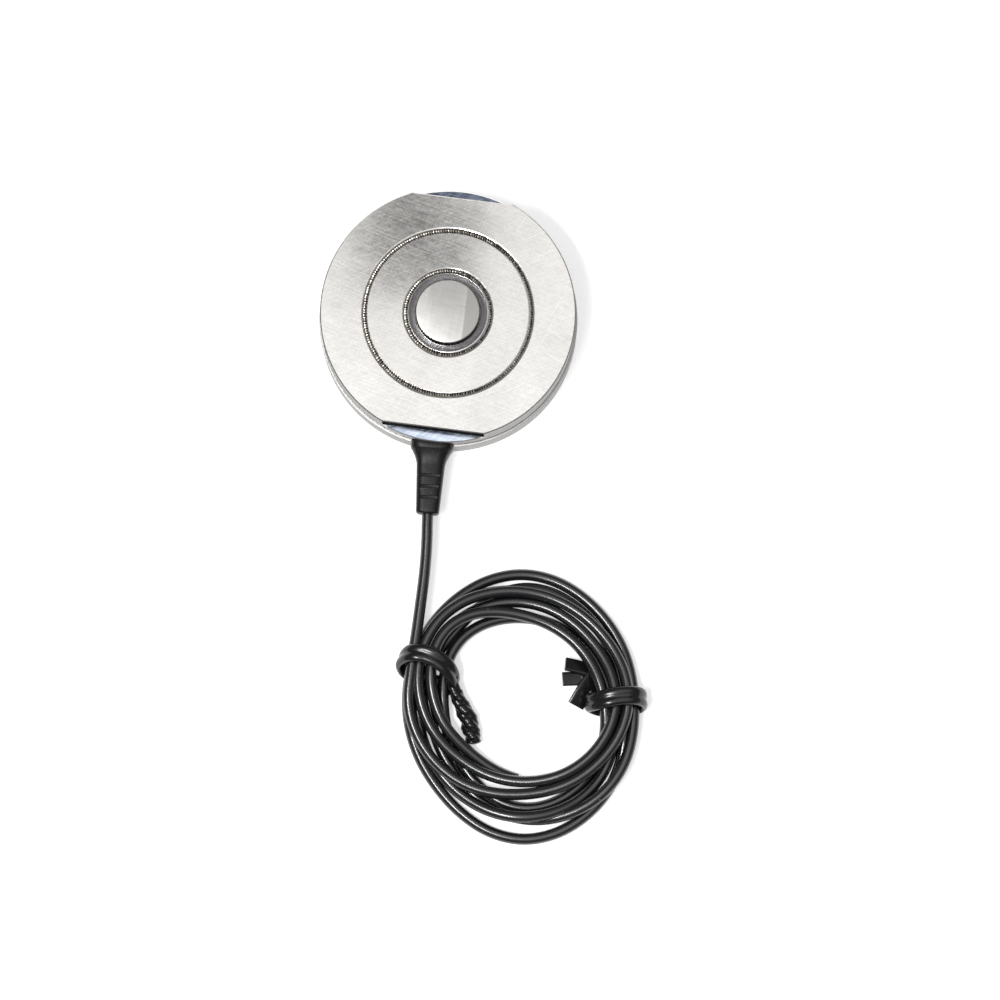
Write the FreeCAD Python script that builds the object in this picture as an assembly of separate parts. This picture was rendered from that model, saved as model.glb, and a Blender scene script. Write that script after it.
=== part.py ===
import FreeCAD, Part
import math
import os

# Compression load cell: a welded stainless body with a crowned load button, a side cable with
# a moulded strain relief, and the cable coiled beside the body and held by two ribbon ties.
# Millimetres. The origin is the middle of the underside, +Z is the load axis, and the cable
# leaves towards -Y.

Vector = FreeCAD.Vector
AXIS_X = Vector(1, 0, 0)
AXIS_Y = Vector(0, 1, 0)
AXIS_Z = Vector(0, 0, 1)
ORIGIN = Vector(0, 0, 0)
MITRE = 1

# Clearances
FIT = 0.03
CABLE_SLIDE = 0.25
TIE_LEFT_CLEARANCE = 0.12
TIE_RIGHT_CLEARANCE = 0.3

# Housing
BODY_HEIGHT = 8.7
LOWER_RING_RADIUS = 15.875
LOWER_RING_HEIGHT = 4.1
UPPER_RING_RADIUS = 15.6
TOP_EDGE_CHAMFER = 0.12
STEP_CHAMFER = 0.12
FOOT_CHAMFER = 0.3
ACROSS_FLATS = 28.58
FLAT_DEPTH = 2.3

# Weld seams of the top face
COVER_SEAM_RADIUS = 10.2
BUTTON_SEAM_RADIUS = 5.22
SEAM_HALF_WIDTH = 0.36
SEAM_DEPTH = 0.35
BEAD_CROWN = 0.1

# Cavity under the cover: a seat for the sensing element, and below it the room for the board
SEAT_WIDTH = 0.8
CAVITY_RADIUS = COVER_SEAM_RADIUS - SEAT_WIDTH

# Top cover
COVER_THICKNESS = 1.1

# Load button
BUTTON_RADIUS = 3.95
BUTTON_RISE = 1.2
CROWN_SAG = 0.14
BUTTON_EDGE_CHAMFER = 0.15
DISH_DEPTH = 0.9
DISH_LIP_RADIUS = 4.8
SPIGOT_RADIUS = 1.4
SPIGOT_LENGTH = 1.4

# Sensing element
BOSS_RADIUS = 3.2
BOSS_TOP_DROP = 1.3
BOSS_DEPTH = 2.1
WEB_THICKNESS = 0.7
WEB_TOP_DROP = 1.7
RIM_WIDTH = 1.6
RIM_INNER_RADIUS = COVER_SEAM_RADIUS - RIM_WIDTH
SPIGOT_HOLE_SPARE = 0.1

# Base cover, set in from the foot ring
BASE_LAP = 2.6
BASE_RADIUS = CAVITY_RADIUS + BASE_LAP
BASE_THICKNESS = 1.1
BASE_INSET = 0.2
BASE_SEAM = 0.35

# Circuit board and what is on it
SPACER_HEIGHT = 0.3
SPACER_WIDTH = 1.0
SPACER_CLEARANCE = 0.2
SPACER_OUTER_RADIUS = CAVITY_RADIUS - SPACER_CLEARANCE
SPACER_INNER_RADIUS = SPACER_OUTER_RADIUS - SPACER_WIDTH
BOARD_CLEARANCE = 0.5
BOARD_RADIUS = CAVITY_RADIUS - BOARD_CLEARANCE
BOARD_HOLE_RADIUS = 1.5
BOARD_THICKNESS = 0.6
CHIP_SIDE = 3.0
CHIP_HEIGHT = 0.9
CHIP_Y = 3.6
RESISTOR_LENGTH = 1.0
RESISTOR_WIDTH = 0.5
RESISTOR_HEIGHT = 0.4
RESISTOR_PITCH = 1.5
RESISTOR_Y = -2.6

# Strain gauges under the web
GAUGE_LENGTH = 1.4
GAUGE_WIDTH = 0.5
GAUGE_THICKNESS = 0.12
GAUGE_FROM_BOSS = 1.1
GAUGE_FROM_RIM = 1.0
GAUGE_INNER_X = BOSS_RADIUS + GAUGE_FROM_BOSS
GAUGE_OUTER_X = RIM_INNER_RADIUS - GAUGE_FROM_RIM
GAUGE_LEAD_WIDTH = 0.2
GAUGE_LEAD_SHIFT = 0.9
GAUGE_LEAD_INSET = 0.85

# Cable, port and strain relief. The port is as high above the board as the ferrule needs, and the
# sensing element's seat is as high above the ferrule.
CABLE_RADIUS = 0.7
CABLE_REACH = 1.4
CABLE_END_Y = CABLE_REACH - CAVITY_RADIUS
FERRULE_RADIUS = 1.15
FERRULE_LENGTH = 1.2
FERRULE_FOOTROOM = 0.15
FERRULE_HEADROOM = 0.25
BOARD_TOP = BASE_INSET + BASE_THICKNESS + SPACER_HEIGHT + BOARD_THICKNESS
PORT_HEIGHT = BOARD_TOP + FERRULE_FOOTROOM + FERRULE_RADIUS
SENSOR_SEAT_HEIGHT = PORT_HEIGHT + FERRULE_RADIUS + FERRULE_HEADROOM
CONDUCTOR_RADIUS = 0.18
CONDUCTOR_SPREAD = 0.3
CONDUCTOR_RUN = 3.0
PAD_PITCH = 1.4
PAD_Y = CABLE_END_Y + CONDUCTOR_RUN
BOOT_PLUG_RADIUS = 1.65
BOOT_PLUG_LENGTH = 3.3
BOOT_FLANGE_WIDTH = 5.2
BOOT_FLANGE_HEIGHT = 4.4
BOOT_NECK_WIDTH = 3.45
BOOT_NECK_HEIGHT = 3.2
BOOT_END_WIDTH = 2.85
BOOT_END_HEIGHT = 2.6
BOOT_RIM_LENGTH = 0.3
BOOT_CURVE_LENGTH = 1.17
BOOT_CURVE_SHARE = 0.45
BOOT_FLARE_LENGTH = 2.6
BOOT_LENGTH = 8.4
BOOT_LEAN_DEG = 3.3
BOOT_CORNER = 0.75
BOOT_END_CHAMFER = 0.35
SLOT_COUNT = 3
SLOT_PITCH = 1.36
SLOT_WIDTH = 0.42
SLOT_DEPTH = 0.55
SLOT_RAIL = 0.42
LAST_SLOT_FROM_END = 1.95

# Lead: from the cable's inner end through the port and the boot to the left tie
LEAD_POINTS = [
    (0.0, CABLE_END_Y, PORT_HEIGHT),
    (0.0, -15.4, PORT_HEIGHT),
    (0.5, -24.2, PORT_HEIGHT),
    (0.9, -27.6, 3.3),
    (1.1, -31.4, 3.05),
    (1.08, -35.4, 2.95),
    (1.05, -39.2, 3.05),
    (0.97, -41.3, 3.15),
    (0.97, -43.2, 3.2),
]

# Coil: radius and height of the cable's centre line at eight stations of each turn, from the
# left side downwards and round. The last row is the end of the cable.
COIL_X = 15.0
COIL_Y = -45.55
COIL_FIRST_ANGLE = 187.0
STATIONS = 8
COIL_RADII = [
    [14.0, 12.6, 11.3, 11.7, 12.8, 12.75, 13.6, 14.4],
    [12.5, 10.2, 9.65, 10.35, 11.25, 11.2, 12.35, 12.8],
    [11.4, 11.9, 14.15, 14.9, 13.45, 14.3, 15.9, 14.75],
    [14.2, 14.7, 16.4, 14.7, 12.1, 12.9, 14.25, 13.75],
    [12.8, 13.3, 14.0, 12.9, 10.75, 10.3, 10.5, 10.9],
    [9.7, 10.5, 12.85, 10.9, 9.85, 9.6, 10.6, 12.95],
    [10.8, 8.8, 9.2],
]
COIL_HEIGHTS = [
    [3.1, 2.2, 2.05, 2.1, 3.05, 2.1, 2.0, 2.95],
    [3.1, 2.07, 2.05, 2.3, 3.05, 2.0, 1.4, 1.75],
    [1.75, 0.7, 0.7, 2.1, 1.75, 0.9, 0.7, 1.75],
    [1.8, 0.7, 0.7, 0.7, 1.75, 0.7, 0.7, 1.15],
    [1.8, 1.1, 2.1, 0.9, 1.7, 0.8, 0.7, 1.3],
    [1.75, 0.7, 0.7, 0.7, 2.5, 2.05, 2.1, 3.0],
    [3.1, 1.8, 0.7],
]
COIL_SECTION_COUNT = 32
COIL_CORNER = 0.45

# Ribbon ties
TIE_LEFT_ANGLE = 167.5
TIE_RIGHT_ANGLE = 8.5
TIE_WIDTH = 1.85
TIE_THICKNESS = 0.6
TIE_EDGE_CHAMFER = 0.16
TIE_BEND_RADIUS = 1.1
TWIST_WIDTH = 1.9
TWIST_THICKNESS = 1.3
TWIST_CHAMFER = 0.4
TWIST_STEP_DEG = 36.0
TAIL_SECTION_COUNT = 15
TAIL_END_RADIUS = 7.2
TAIL_END_ANGLE = 222.0
TAIL_REST = 0.1
STUB_SECTION_COUNT = 6
STUB_END_RADIUS = 7.2
STUB_END_ANGLE = 36.0
STUB_END_HEIGHT = 1.7
PRONG_WIDTH = 1.8
PRONG_THICKNESS = 0.65
PRONG_LENGTHS_AND_ANGLES = [(2.2, 128.0), (2.3, 198.0), (4.0, 268.0)]

# Heights and places that follow
cover_underside = BODY_HEIGHT - COVER_THICKNESS
boss_top = BODY_HEIGHT - BOSS_TOP_DROP
web_top = BODY_HEIGHT - WEB_TOP_DROP
web_underside = web_top - WEB_THICKNESS
base_seat = BASE_INSET + BASE_THICKNESS
board_bottom = base_seat + SPACER_HEIGHT
gauge_underside = web_underside - GAUGE_THICKNESS
boot_root_y = LEAD_POINTS[1][1]
wall_y = -LOWER_RING_RADIUS


def turned(points):
    """Solid of revolution about Z from a closed profile of (radius, height) points."""
    corners = [Vector(r, 0, z) for r, z in points]
    face = Part.Face(Part.makePolygon(corners + corners[:1]))
    return face.revolve(ORIGIN, AXIS_Z, 360)


def block(size, centre_x, centre_y, bottom):
    """Box of the given size with its underside centred at a point."""
    return Part.makeBox(*size, Vector(centre_x - size[0] / 2, centre_y - size[1] / 2, bottom))


def rounded_loop(width, height, corner, centre, across, up):
    """Closed wire of a rounded rectangle in the plane of two unit directions."""
    half_w = width / 2 - corner
    half_h = height / 2 - corner
    diagonal = corner * math.sqrt(0.5)

    def at(a, b):
        return centre + across * a + up * b

    edges = []
    for sx, sy in ((1, 1), (-1, 1), (-1, -1), (1, -1)):
        side = at(sx * (half_w + corner), sy * half_h)
        middle = at(sx * (half_w + diagonal), sy * (half_h + diagonal))
        top = at(sx * half_w, sy * (half_h + corner))
        first, last = (side, top) if sx * sy > 0 else (top, side)
        if edges:
            edges.append(Part.LineSegment(edges[-1].lastVertex().Point, first).toShape())
        edges.append(Part.Arc(first, middle, last).toShape())
    closing = (edges[-1].lastVertex().Point, edges[0].firstVertex().Point)
    edges.append(Part.LineSegment(*closing).toShape())
    return Part.Wire(edges)


def chamfered_loop(width, height, chamfer, centre, across, up):
    """Closed wire of a rectangle with cut corners in the plane of two unit directions."""
    corners = []
    for sx, sy in ((1, 1), (-1, 1), (-1, -1), (1, -1)):
        side = centre + across * (sx * width / 2) + up * (sy * (height / 2 - chamfer))
        top = centre + across * (sx * (width / 2 - chamfer)) + up * (sy * height / 2)
        corners += [side, top] if sx * sy > 0 else [top, side]
    return Part.makePolygon(corners + corners[:1])


def rounded_route(points):
    """Wire of straight runs and tangent arcs as large as their runs allow, and the arcs' radii."""
    corners = [Vector(*p) for p in points]
    edges = []
    radii = []
    start = corners[0]
    for before, corner, after in zip(corners, corners[1:], corners[2:]):
        back = (before - corner).normalize()
        ahead = (after - corner).normalize()
        reach = 0.45 * min((before - corner).Length, (after - corner).Length)
        half_turn = (math.pi - back.getAngle(ahead)) / 2
        radius = reach / math.tan(half_turn)
        inward = (back + ahead).normalize()
        first = corner + back * reach
        last = corner + ahead * reach
        middle = corner + inward * (radius / math.cos(half_turn) - radius)
        edges.append(Part.LineSegment(start, first).toShape())
        edges.append(Part.Arc(first, middle, last).toShape())
        radii.append(radius)
        start = last
    edges.append(Part.LineSegment(start, corners[-1]).toShape())
    return Part.Wire(edges), radii


def tube(points, radius):
    """Round tube along a rounded route, the route's length and the radii of its arcs."""
    route, radii = rounded_route(points)
    direction = Vector(*points[1]) - Vector(*points[0])
    ring = Part.Wire(Part.Circle(Vector(*points[0]), direction, radius).toShape())
    return route.makePipeShell([ring], True, False), route.Length, radii


def mitred_bar(points, section):
    """Bar of the given section along straight runs that meet in mitres."""
    route = Part.makePolygon([Vector(*p) for p in points])
    return route.makePipeShell([section], True, False, MITRE)


def seam_bead(radius, inner_gap):
    """Weld bead: a V of metal between two chamfers, with a low crown above the face."""
    return turned([
        (radius - SEAM_HALF_WIDTH, BODY_HEIGHT),
        (radius - SEAM_HALF_WIDTH / 2, BODY_HEIGHT + BEAD_CROWN),
        (radius + SEAM_HALF_WIDTH / 2, BODY_HEIGHT + BEAD_CROWN),
        (radius + SEAM_HALF_WIDTH, BODY_HEIGHT),
        (radius, BODY_HEIGHT - SEAM_DEPTH),
        (radius - inner_gap, BODY_HEIGHT - SEAM_DEPTH),
    ])


def housing_outline():
    """The housing's turned form, before the flats and the port are cut."""
    return turned([
        (BASE_RADIUS, 0),
        (LOWER_RING_RADIUS - FOOT_CHAMFER, 0),
        (LOWER_RING_RADIUS, FOOT_CHAMFER),
        (LOWER_RING_RADIUS, LOWER_RING_HEIGHT - STEP_CHAMFER),
        (LOWER_RING_RADIUS - STEP_CHAMFER, LOWER_RING_HEIGHT),
        (UPPER_RING_RADIUS, LOWER_RING_HEIGHT),
        (UPPER_RING_RADIUS, BODY_HEIGHT - TOP_EDGE_CHAMFER),
        (UPPER_RING_RADIUS - TOP_EDGE_CHAMFER, BODY_HEIGHT),
        (COVER_SEAM_RADIUS + SEAM_HALF_WIDTH, BODY_HEIGHT),
        (COVER_SEAM_RADIUS, BODY_HEIGHT - SEAM_DEPTH),
        (COVER_SEAM_RADIUS, SENSOR_SEAT_HEIGHT),
        (CAVITY_RADIUS, SENSOR_SEAT_HEIGHT),
        (CAVITY_RADIUS, base_seat),
        (BASE_RADIUS, base_seat),
    ])


def housing():
    """Turned body with two spanner flats and the stepped cable port."""
    body = housing_outline()
    reach = 2 * LOWER_RING_RADIUS
    for side in (-1, 1):
        middle = side * (ACROSS_FLATS / 2 + reach / 2)
        body = body.cut(block((reach, reach, BODY_HEIGHT), 0, middle, BODY_HEIGHT - FLAT_DEPTH))
    port_axis = Vector(0, 0, PORT_HEIGHT)
    hole = Part.makeCylinder(CABLE_RADIUS + CABLE_SLIDE, reach, port_axis, -AXIS_Y)
    mouth = Vector(0, wall_y + BOOT_PLUG_LENGTH, PORT_HEIGHT)
    counterbore = Part.makeCylinder(BOOT_PLUG_RADIUS + FIT, reach, mouth, -AXIS_Y)
    return body.cut(hole).cut(counterbore)


def base_cover():
    """Disc that closes the underside, set in from the foot ring."""
    radius = BASE_RADIUS - FIT
    return turned([
        (0, BASE_INSET),
        (radius - BASE_SEAM, BASE_INSET),
        (radius, BASE_INSET + BASE_SEAM),
        (radius, base_seat),
        (0, base_seat),
    ])


def base_weld():
    """Flush weld in the chamfer of the base cover's edge."""
    inner = BASE_RADIUS - FIT
    return turned([
        (inner - BASE_SEAM, BASE_INSET),
        (BASE_RADIUS, BASE_INSET),
        (BASE_RADIUS, BASE_INSET + BASE_SEAM),
        (inner, BASE_INSET + BASE_SEAM),
    ])


def sensing_element():
    """Flexure: a stiff rim, a thin web and a boss that carries the load button."""
    outer = COVER_SEAM_RADIUS - FIT
    hole = SPIGOT_RADIUS + FIT
    hole_bottom = boss_top - SPIGOT_LENGTH - SPIGOT_HOLE_SPARE
    return turned([
        (0, boss_top - BOSS_DEPTH),
        (BOSS_RADIUS, boss_top - BOSS_DEPTH),
        (BOSS_RADIUS, web_underside),
        (RIM_INNER_RADIUS, web_underside),
        (RIM_INNER_RADIUS, SENSOR_SEAT_HEIGHT),
        (outer, SENSOR_SEAT_HEIGHT),
        (outer, cover_underside),
        (RIM_INNER_RADIUS, cover_underside),
        (RIM_INNER_RADIUS, web_top),
        (BOSS_RADIUS, web_top),
        (BOSS_RADIUS, boss_top),
        (hole, boss_top),
        (hole, hole_bottom),
        (0, hole_bottom),
    ])


def top_cover():
    """Flat annular cover on the flexure's rim, chamfered for its two weld seams."""
    outer = COVER_SEAM_RADIUS - FIT
    return turned([
        (BUTTON_SEAM_RADIUS, cover_underside),
        (outer, cover_underside),
        (outer, BODY_HEIGHT - SEAM_DEPTH),
        (COVER_SEAM_RADIUS - SEAM_HALF_WIDTH, BODY_HEIGHT),
        (BUTTON_SEAM_RADIUS + SEAM_HALF_WIDTH, BODY_HEIGHT),
        (BUTTON_SEAM_RADIUS, BODY_HEIGHT - SEAM_DEPTH),
    ])


def load_button():
    """Crowned button standing in a dished collar, with a spigot that centres it on the boss."""
    top = BODY_HEIGHT + BUTTON_RISE
    collar = BUTTON_SEAM_RADIUS - FIT
    rim = top - CROWN_SAG
    rim_radius = BUTTON_RADIUS - BUTTON_EDGE_CHAMFER
    button = turned([
        (0, top),
        (rim_radius, top),
        (rim_radius, rim),
        (BUTTON_RADIUS, rim - BUTTON_EDGE_CHAMFER),
        (BUTTON_RADIUS, BODY_HEIGHT - DISH_DEPTH),
        (DISH_LIP_RADIUS, BODY_HEIGHT),
        (BUTTON_SEAM_RADIUS - SEAM_HALF_WIDTH, BODY_HEIGHT),
        (collar, BODY_HEIGHT - SEAM_DEPTH),
        (collar, boss_top),
        (SPIGOT_RADIUS, boss_top),
        (SPIGOT_RADIUS, boss_top - SPIGOT_LENGTH),
        (0, boss_top - SPIGOT_LENGTH),
    ])
    crown_radius = (rim_radius**2 + CROWN_SAG**2) / (2 * CROWN_SAG)
    return button.common(Part.makeSphere(crown_radius, Vector(0, 0, top - crown_radius)))


def circuit_board():
    """Round board with a hole in its middle."""
    return turned([
        (BOARD_HOLE_RADIUS, board_bottom),
        (BOARD_RADIUS, board_bottom),
        (BOARD_RADIUS, BOARD_TOP),
        (BOARD_HOLE_RADIUS, BOARD_TOP),
    ])


def board_spacer():
    """Insulating ring that holds the board off the base cover."""
    return turned([
        (SPACER_INNER_RADIUS, base_seat),
        (SPACER_OUTER_RADIUS, base_seat),
        (SPACER_OUTER_RADIUS, board_bottom),
        (SPACER_INNER_RADIUS, board_bottom),
    ])


def gauge_places():
    """X of each gauge: the inner and the outer edge of the web on both sides."""
    return [-GAUGE_OUTER_X, -GAUGE_INNER_X, GAUGE_INNER_X, GAUGE_OUTER_X]


def gauge_lead(x, side):
    """Fine ribbon wire from a gauge down to the board."""
    foot_x = x * GAUGE_LEAD_INSET
    foot_y = side * GAUGE_LEAD_SHIFT
    drop = gauge_underside - BOARD_TOP
    points = [
        (x, 0, gauge_underside),
        (x, 0, gauge_underside - drop / 3),
        (foot_x, foot_y, BOARD_TOP + drop / 3),
        (foot_x, foot_y, BOARD_TOP),
    ]
    end = Vector(*points[0])
    half = GAUGE_LEAD_WIDTH / 2
    sides = [(-half, -half), (half, -half), (half, half), (-half, half), (-half, -half)]
    return mitred_bar(points, Part.makePolygon([end + Vector(a, b, 0) for a, b in sides]))


def conductor(index):
    """One core of the cable: a straight wire from the jacket's end down to its pad on the board."""
    side = -1 if index < 2 else 1
    outer = index in (0, 3)
    jacket_end = Vector(
        side * CONDUCTOR_SPREAD,
        CABLE_END_Y,
        PORT_HEIGHT + (CONDUCTOR_SPREAD if outer else -CONDUCTOR_SPREAD),
    )
    pad = Vector((index - 1.5) * PAD_PITCH, PAD_Y, BOARD_TOP)
    along = (pad - jacket_end).normalize()
    spare = 3 * CONDUCTOR_RADIUS
    length = (pad - jacket_end).Length + 2 * spare
    wire = Part.makeCylinder(CONDUCTOR_RADIUS, length, jacket_end - along * spare, along)
    room = 2 * BOARD_RADIUS
    return wire.common(block((room, room, room), 0, CABLE_END_Y + room / 2, BOARD_TOP))


def cable_ferrule():
    """Crimped ring on the jacket, inside the cavity's wall."""
    wall = math.sqrt(CAVITY_RADIUS**2 - FERRULE_RADIUS**2)
    start = Vector(0, FIT - wall, PORT_HEIGHT)
    ring = Part.makeCylinder(FERRULE_RADIUS, FERRULE_LENGTH, start, AXIS_Y)
    return ring.cut(Part.makeCylinder(CABLE_RADIUS, FERRULE_LENGTH, start, AXIS_Y))


def strain_relief(lead):
    """Moulded boot: a plug in the port, a flared flange on the wall and a slotted, tapering body."""
    axis_point = Vector(0, boot_root_y, PORT_HEIGHT)

    def section(width, height, out):
        centre = Vector(0, wall_y - out, PORT_HEIGHT)
        return rounded_loop(width, height, BOOT_CORNER, centre, AXIS_X, AXIS_Z)

    def between(share, neck, flange):
        return neck + (flange - neck) * share

    sunk = wall_y - boot_root_y
    flare = [
        (sunk, 1),
        (BOOT_RIM_LENGTH, 1),
        (BOOT_CURVE_LENGTH, BOOT_CURVE_SHARE),
        (BOOT_FLARE_LENGTH, 0),
    ]
    sections = []
    for out, share in flare:
        width = between(share, BOOT_NECK_WIDTH, BOOT_FLANGE_WIDTH)
        height = between(share, BOOT_NECK_HEIGHT, BOOT_FLANGE_HEIGHT)
        sections.append(section(width, height, out))
    sections.append(section(BOOT_END_WIDTH, BOOT_END_HEIGHT, BOOT_LENGTH - BOOT_END_CHAMFER))
    tip_width = BOOT_END_WIDTH - 2 * BOOT_END_CHAMFER
    tip_height = BOOT_END_HEIGHT - 2 * BOOT_END_CHAMFER
    sections.append(section(tip_width, tip_height, BOOT_LENGTH))
    boot = Part.makeLoft(sections, True, True)
    end_y = wall_y - BOOT_LENGTH
    slot_tall = BOOT_NECK_HEIGHT
    for index in range(SLOT_COUNT):
        slot_y = end_y + LAST_SLOT_FROM_END + index * SLOT_PITCH
        share = (slot_y - end_y) / (BOOT_LENGTH - BOOT_FLARE_LENGTH)
        width = between(share, BOOT_END_WIDTH, BOOT_NECK_WIDTH) - 2 * SLOT_RAIL
        half = between(share, BOOT_END_HEIGHT, BOOT_NECK_HEIGHT) / 2 - SLOT_DEPTH
        for bottom in (PORT_HEIGHT + half, PORT_HEIGHT - half - slot_tall):
            boot = boot.cut(block((width, SLOT_WIDTH, slot_tall), 0, slot_y, bottom))
    boot.rotate(axis_point, AXIS_Z, BOOT_LEAN_DEG)
    boot = boot.cut(housing_outline())
    plug_start = Vector(0, wall_y + BOOT_PLUG_LENGTH, PORT_HEIGHT)
    plug = Part.makeCylinder(BOOT_PLUG_RADIUS, BOOT_PLUG_LENGTH, plug_start, -AXIS_Y)
    return boot.fuse(plug).cut(lead).removeSplitter()


def coil_state(position):
    """Radius and height of the coil's centre line at a position counted in stations."""
    radii = [r for turn in COIL_RADII for r in turn]
    heights = [z for turn in COIL_HEIGHTS for z in turn]
    last = len(radii) - 1
    index = min(int(position), last - 1)
    t = position - index

    def smooth(values):
        a = values[max(index - 1, 0)]
        b = values[index]
        c = values[index + 1]
        d = values[min(index + 2, last)]
        slope_b = (c - a) / 2
        slope_c = (d - b) / 2
        bend = 3 * (c - b) - 2 * slope_b - slope_c
        ease = 2 * (b - c) + slope_b + slope_c
        return b + slope_b * t + bend * t * t + ease * t * t * t

    return smooth(radii), max(smooth(heights), CABLE_RADIUS)


def lead_state(point):
    """Radius, angle and height of a point of the lead, seen from the coil's middle."""
    x, y, z = point
    angle = math.degrees(math.atan2(y - COIL_Y, x - COIL_X))
    return math.hypot(x - COIL_X, y - COIL_Y), angle, z


def coil_envelope(angle):
    """Inner and outer radius, lowest and highest point of the strands that pass an angle."""
    per_station = 360.0 / STATIONS
    last = sum(len(turn) for turn in COIL_RADII) - 1
    position = ((angle - COIL_FIRST_ANGLE) % 360) / per_station
    passes = []
    while position <= last:
        passes.append(coil_state(position))
        position += STATIONS
    join_radius, join_angle, join_height = lead_state(LEAD_POINTS[-1])
    share = ((COIL_FIRST_ANGLE - angle) % 360) / (COIL_FIRST_ANGLE - join_angle)
    if share <= 1:
        radius, height = coil_state(0)
        passes.append((radius + (join_radius - radius) * share, height + (join_height - height) * share))
    return strand_box(passes)


def strand_box(passes):
    """Inner and outer radius, lowest and highest point of strands at (radius, height) places."""
    radii = [r for r, z in passes]
    heights = [z for r, z in passes]
    return (
        min(radii) - CABLE_RADIUS,
        max(radii) + CABLE_RADIUS,
        max(min(heights) - CABLE_RADIUS, 0),
        max(heights) + CABLE_RADIUS,
    )


def coil_direction(angle):
    """Unit vector from the coil's middle towards an angle."""
    return Vector(math.cos(math.radians(angle)), math.sin(math.radians(angle)), 0)


def coil_point(radius, angle, height):
    """Point beside the coil's middle, in the part's frame."""
    return Vector(COIL_X, COIL_Y, height) + coil_direction(angle) * radius


def cable_coil(lead):
    """One closed solid of the coil's outer shape: a ring whose section follows the strands."""
    sections = []
    for index in range(COIL_SECTION_COUNT):
        angle = COIL_FIRST_ANGLE + index * 360.0 / COIL_SECTION_COUNT
        inner, outer, low, high = coil_envelope(angle)
        centre = coil_point((inner + outer) / 2, angle, (low + high) / 2)
        outwards = coil_direction(angle)
        sections.append(chamfered_loop(outer - inner, high - low, COIL_CORNER, centre, outwards, AXIS_Z))
    ring = Part.makeLoft(sections, True, True, True)
    return ring.cut(lead)


def tie_loop(angle, clearance, beside):
    """Ribbon loop round the coil and the lead's points beside it, and the root of its twist."""
    reach = math.degrees(TIE_WIDTH / 2 / coil_envelope(angle)[0])
    spans = [coil_envelope(angle + turn) for turn in (-reach, 0, reach)]
    for point in beside:
        radius, _, height = lead_state(point)
        spans.append(strand_box([(radius, height)]))
    gap = clearance + TIE_THICKNESS / 2
    inner = min(s[0] for s in spans) - gap
    outer = max(s[1] for s in spans) + gap
    low = min(s[2] for s in spans) - gap
    high = max(s[3] for s in spans) + gap
    outwards = coil_direction(angle)
    along = AXIS_Z.cross(outwards)
    centre = coil_point((inner + outer) / 2, angle, (low + high) / 2)
    path = rounded_loop(outer - inner, high - low, TIE_BEND_RADIUS, centre, outwards, AXIS_Z)
    root = coil_point(inner - TWIST_WIDTH / 2, angle, (low + high) / 2)
    start = coil_point(outer, angle, high - TIE_BEND_RADIUS)
    ribbon = chamfered_loop(TIE_THICKNESS, TIE_WIDTH, TIE_EDGE_CHAMFER, start, outwards, along)
    return path.makePipeShell([ribbon], True, True), root


def twisted_ribbon(start, end, sections):
    """Two ribbons twisted together: a flattened bar whose section turns along its length."""
    axis = (end - start).normalize()
    across = AXIS_Z.cross(axis).normalize()
    up = axis.cross(across)
    loops = []
    for index in range(sections):
        turn = math.radians(index * TWIST_STEP_DEG)
        wide = across * math.cos(turn) + up * math.sin(turn)
        tall = axis.cross(wide)
        centre = start + (end - start) * (index / (sections - 1))
        loops.append(chamfered_loop(TWIST_WIDTH, TWIST_THICKNESS, TWIST_CHAMFER, centre, wide, tall))
    return Part.makeLoft(loops, True, True)


def tie_left():
    """Ribbon tie round the coil and the lead, with a long twisted tail that lies in the coil's hole."""
    band, root = tie_loop(TIE_LEFT_ANGLE, TIE_LEFT_CLEARANCE, LEAD_POINTS[-2:])
    rest = TWIST_WIDTH / 2 + TAIL_REST
    tail = twisted_ribbon(root, coil_point(TAIL_END_RADIUS, TAIL_END_ANGLE, rest), TAIL_SECTION_COUNT)
    return band.fuse(tail)


def tie_right():
    """Ribbon tie round the coil, with a short twist and three clipped ribbon ends."""
    band, root = tie_loop(TIE_RIGHT_ANGLE, TIE_RIGHT_CLEARANCE, [])
    hub = coil_point(STUB_END_RADIUS, STUB_END_ANGLE, STUB_END_HEIGHT)
    solid = band.fuse(twisted_ribbon(root, hub, STUB_SECTION_COUNT))
    for length, angle in PRONG_LENGTHS_AND_ANGLES:
        prong = block((length, PRONG_WIDTH, PRONG_THICKNESS), length / 2, 0, -PRONG_THICKNESS / 2)
        prong.rotate(ORIGIN, AXIS_Z, angle)
        prong.translate(hub)
        solid = solid.fuse(prong)
    return solid


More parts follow.
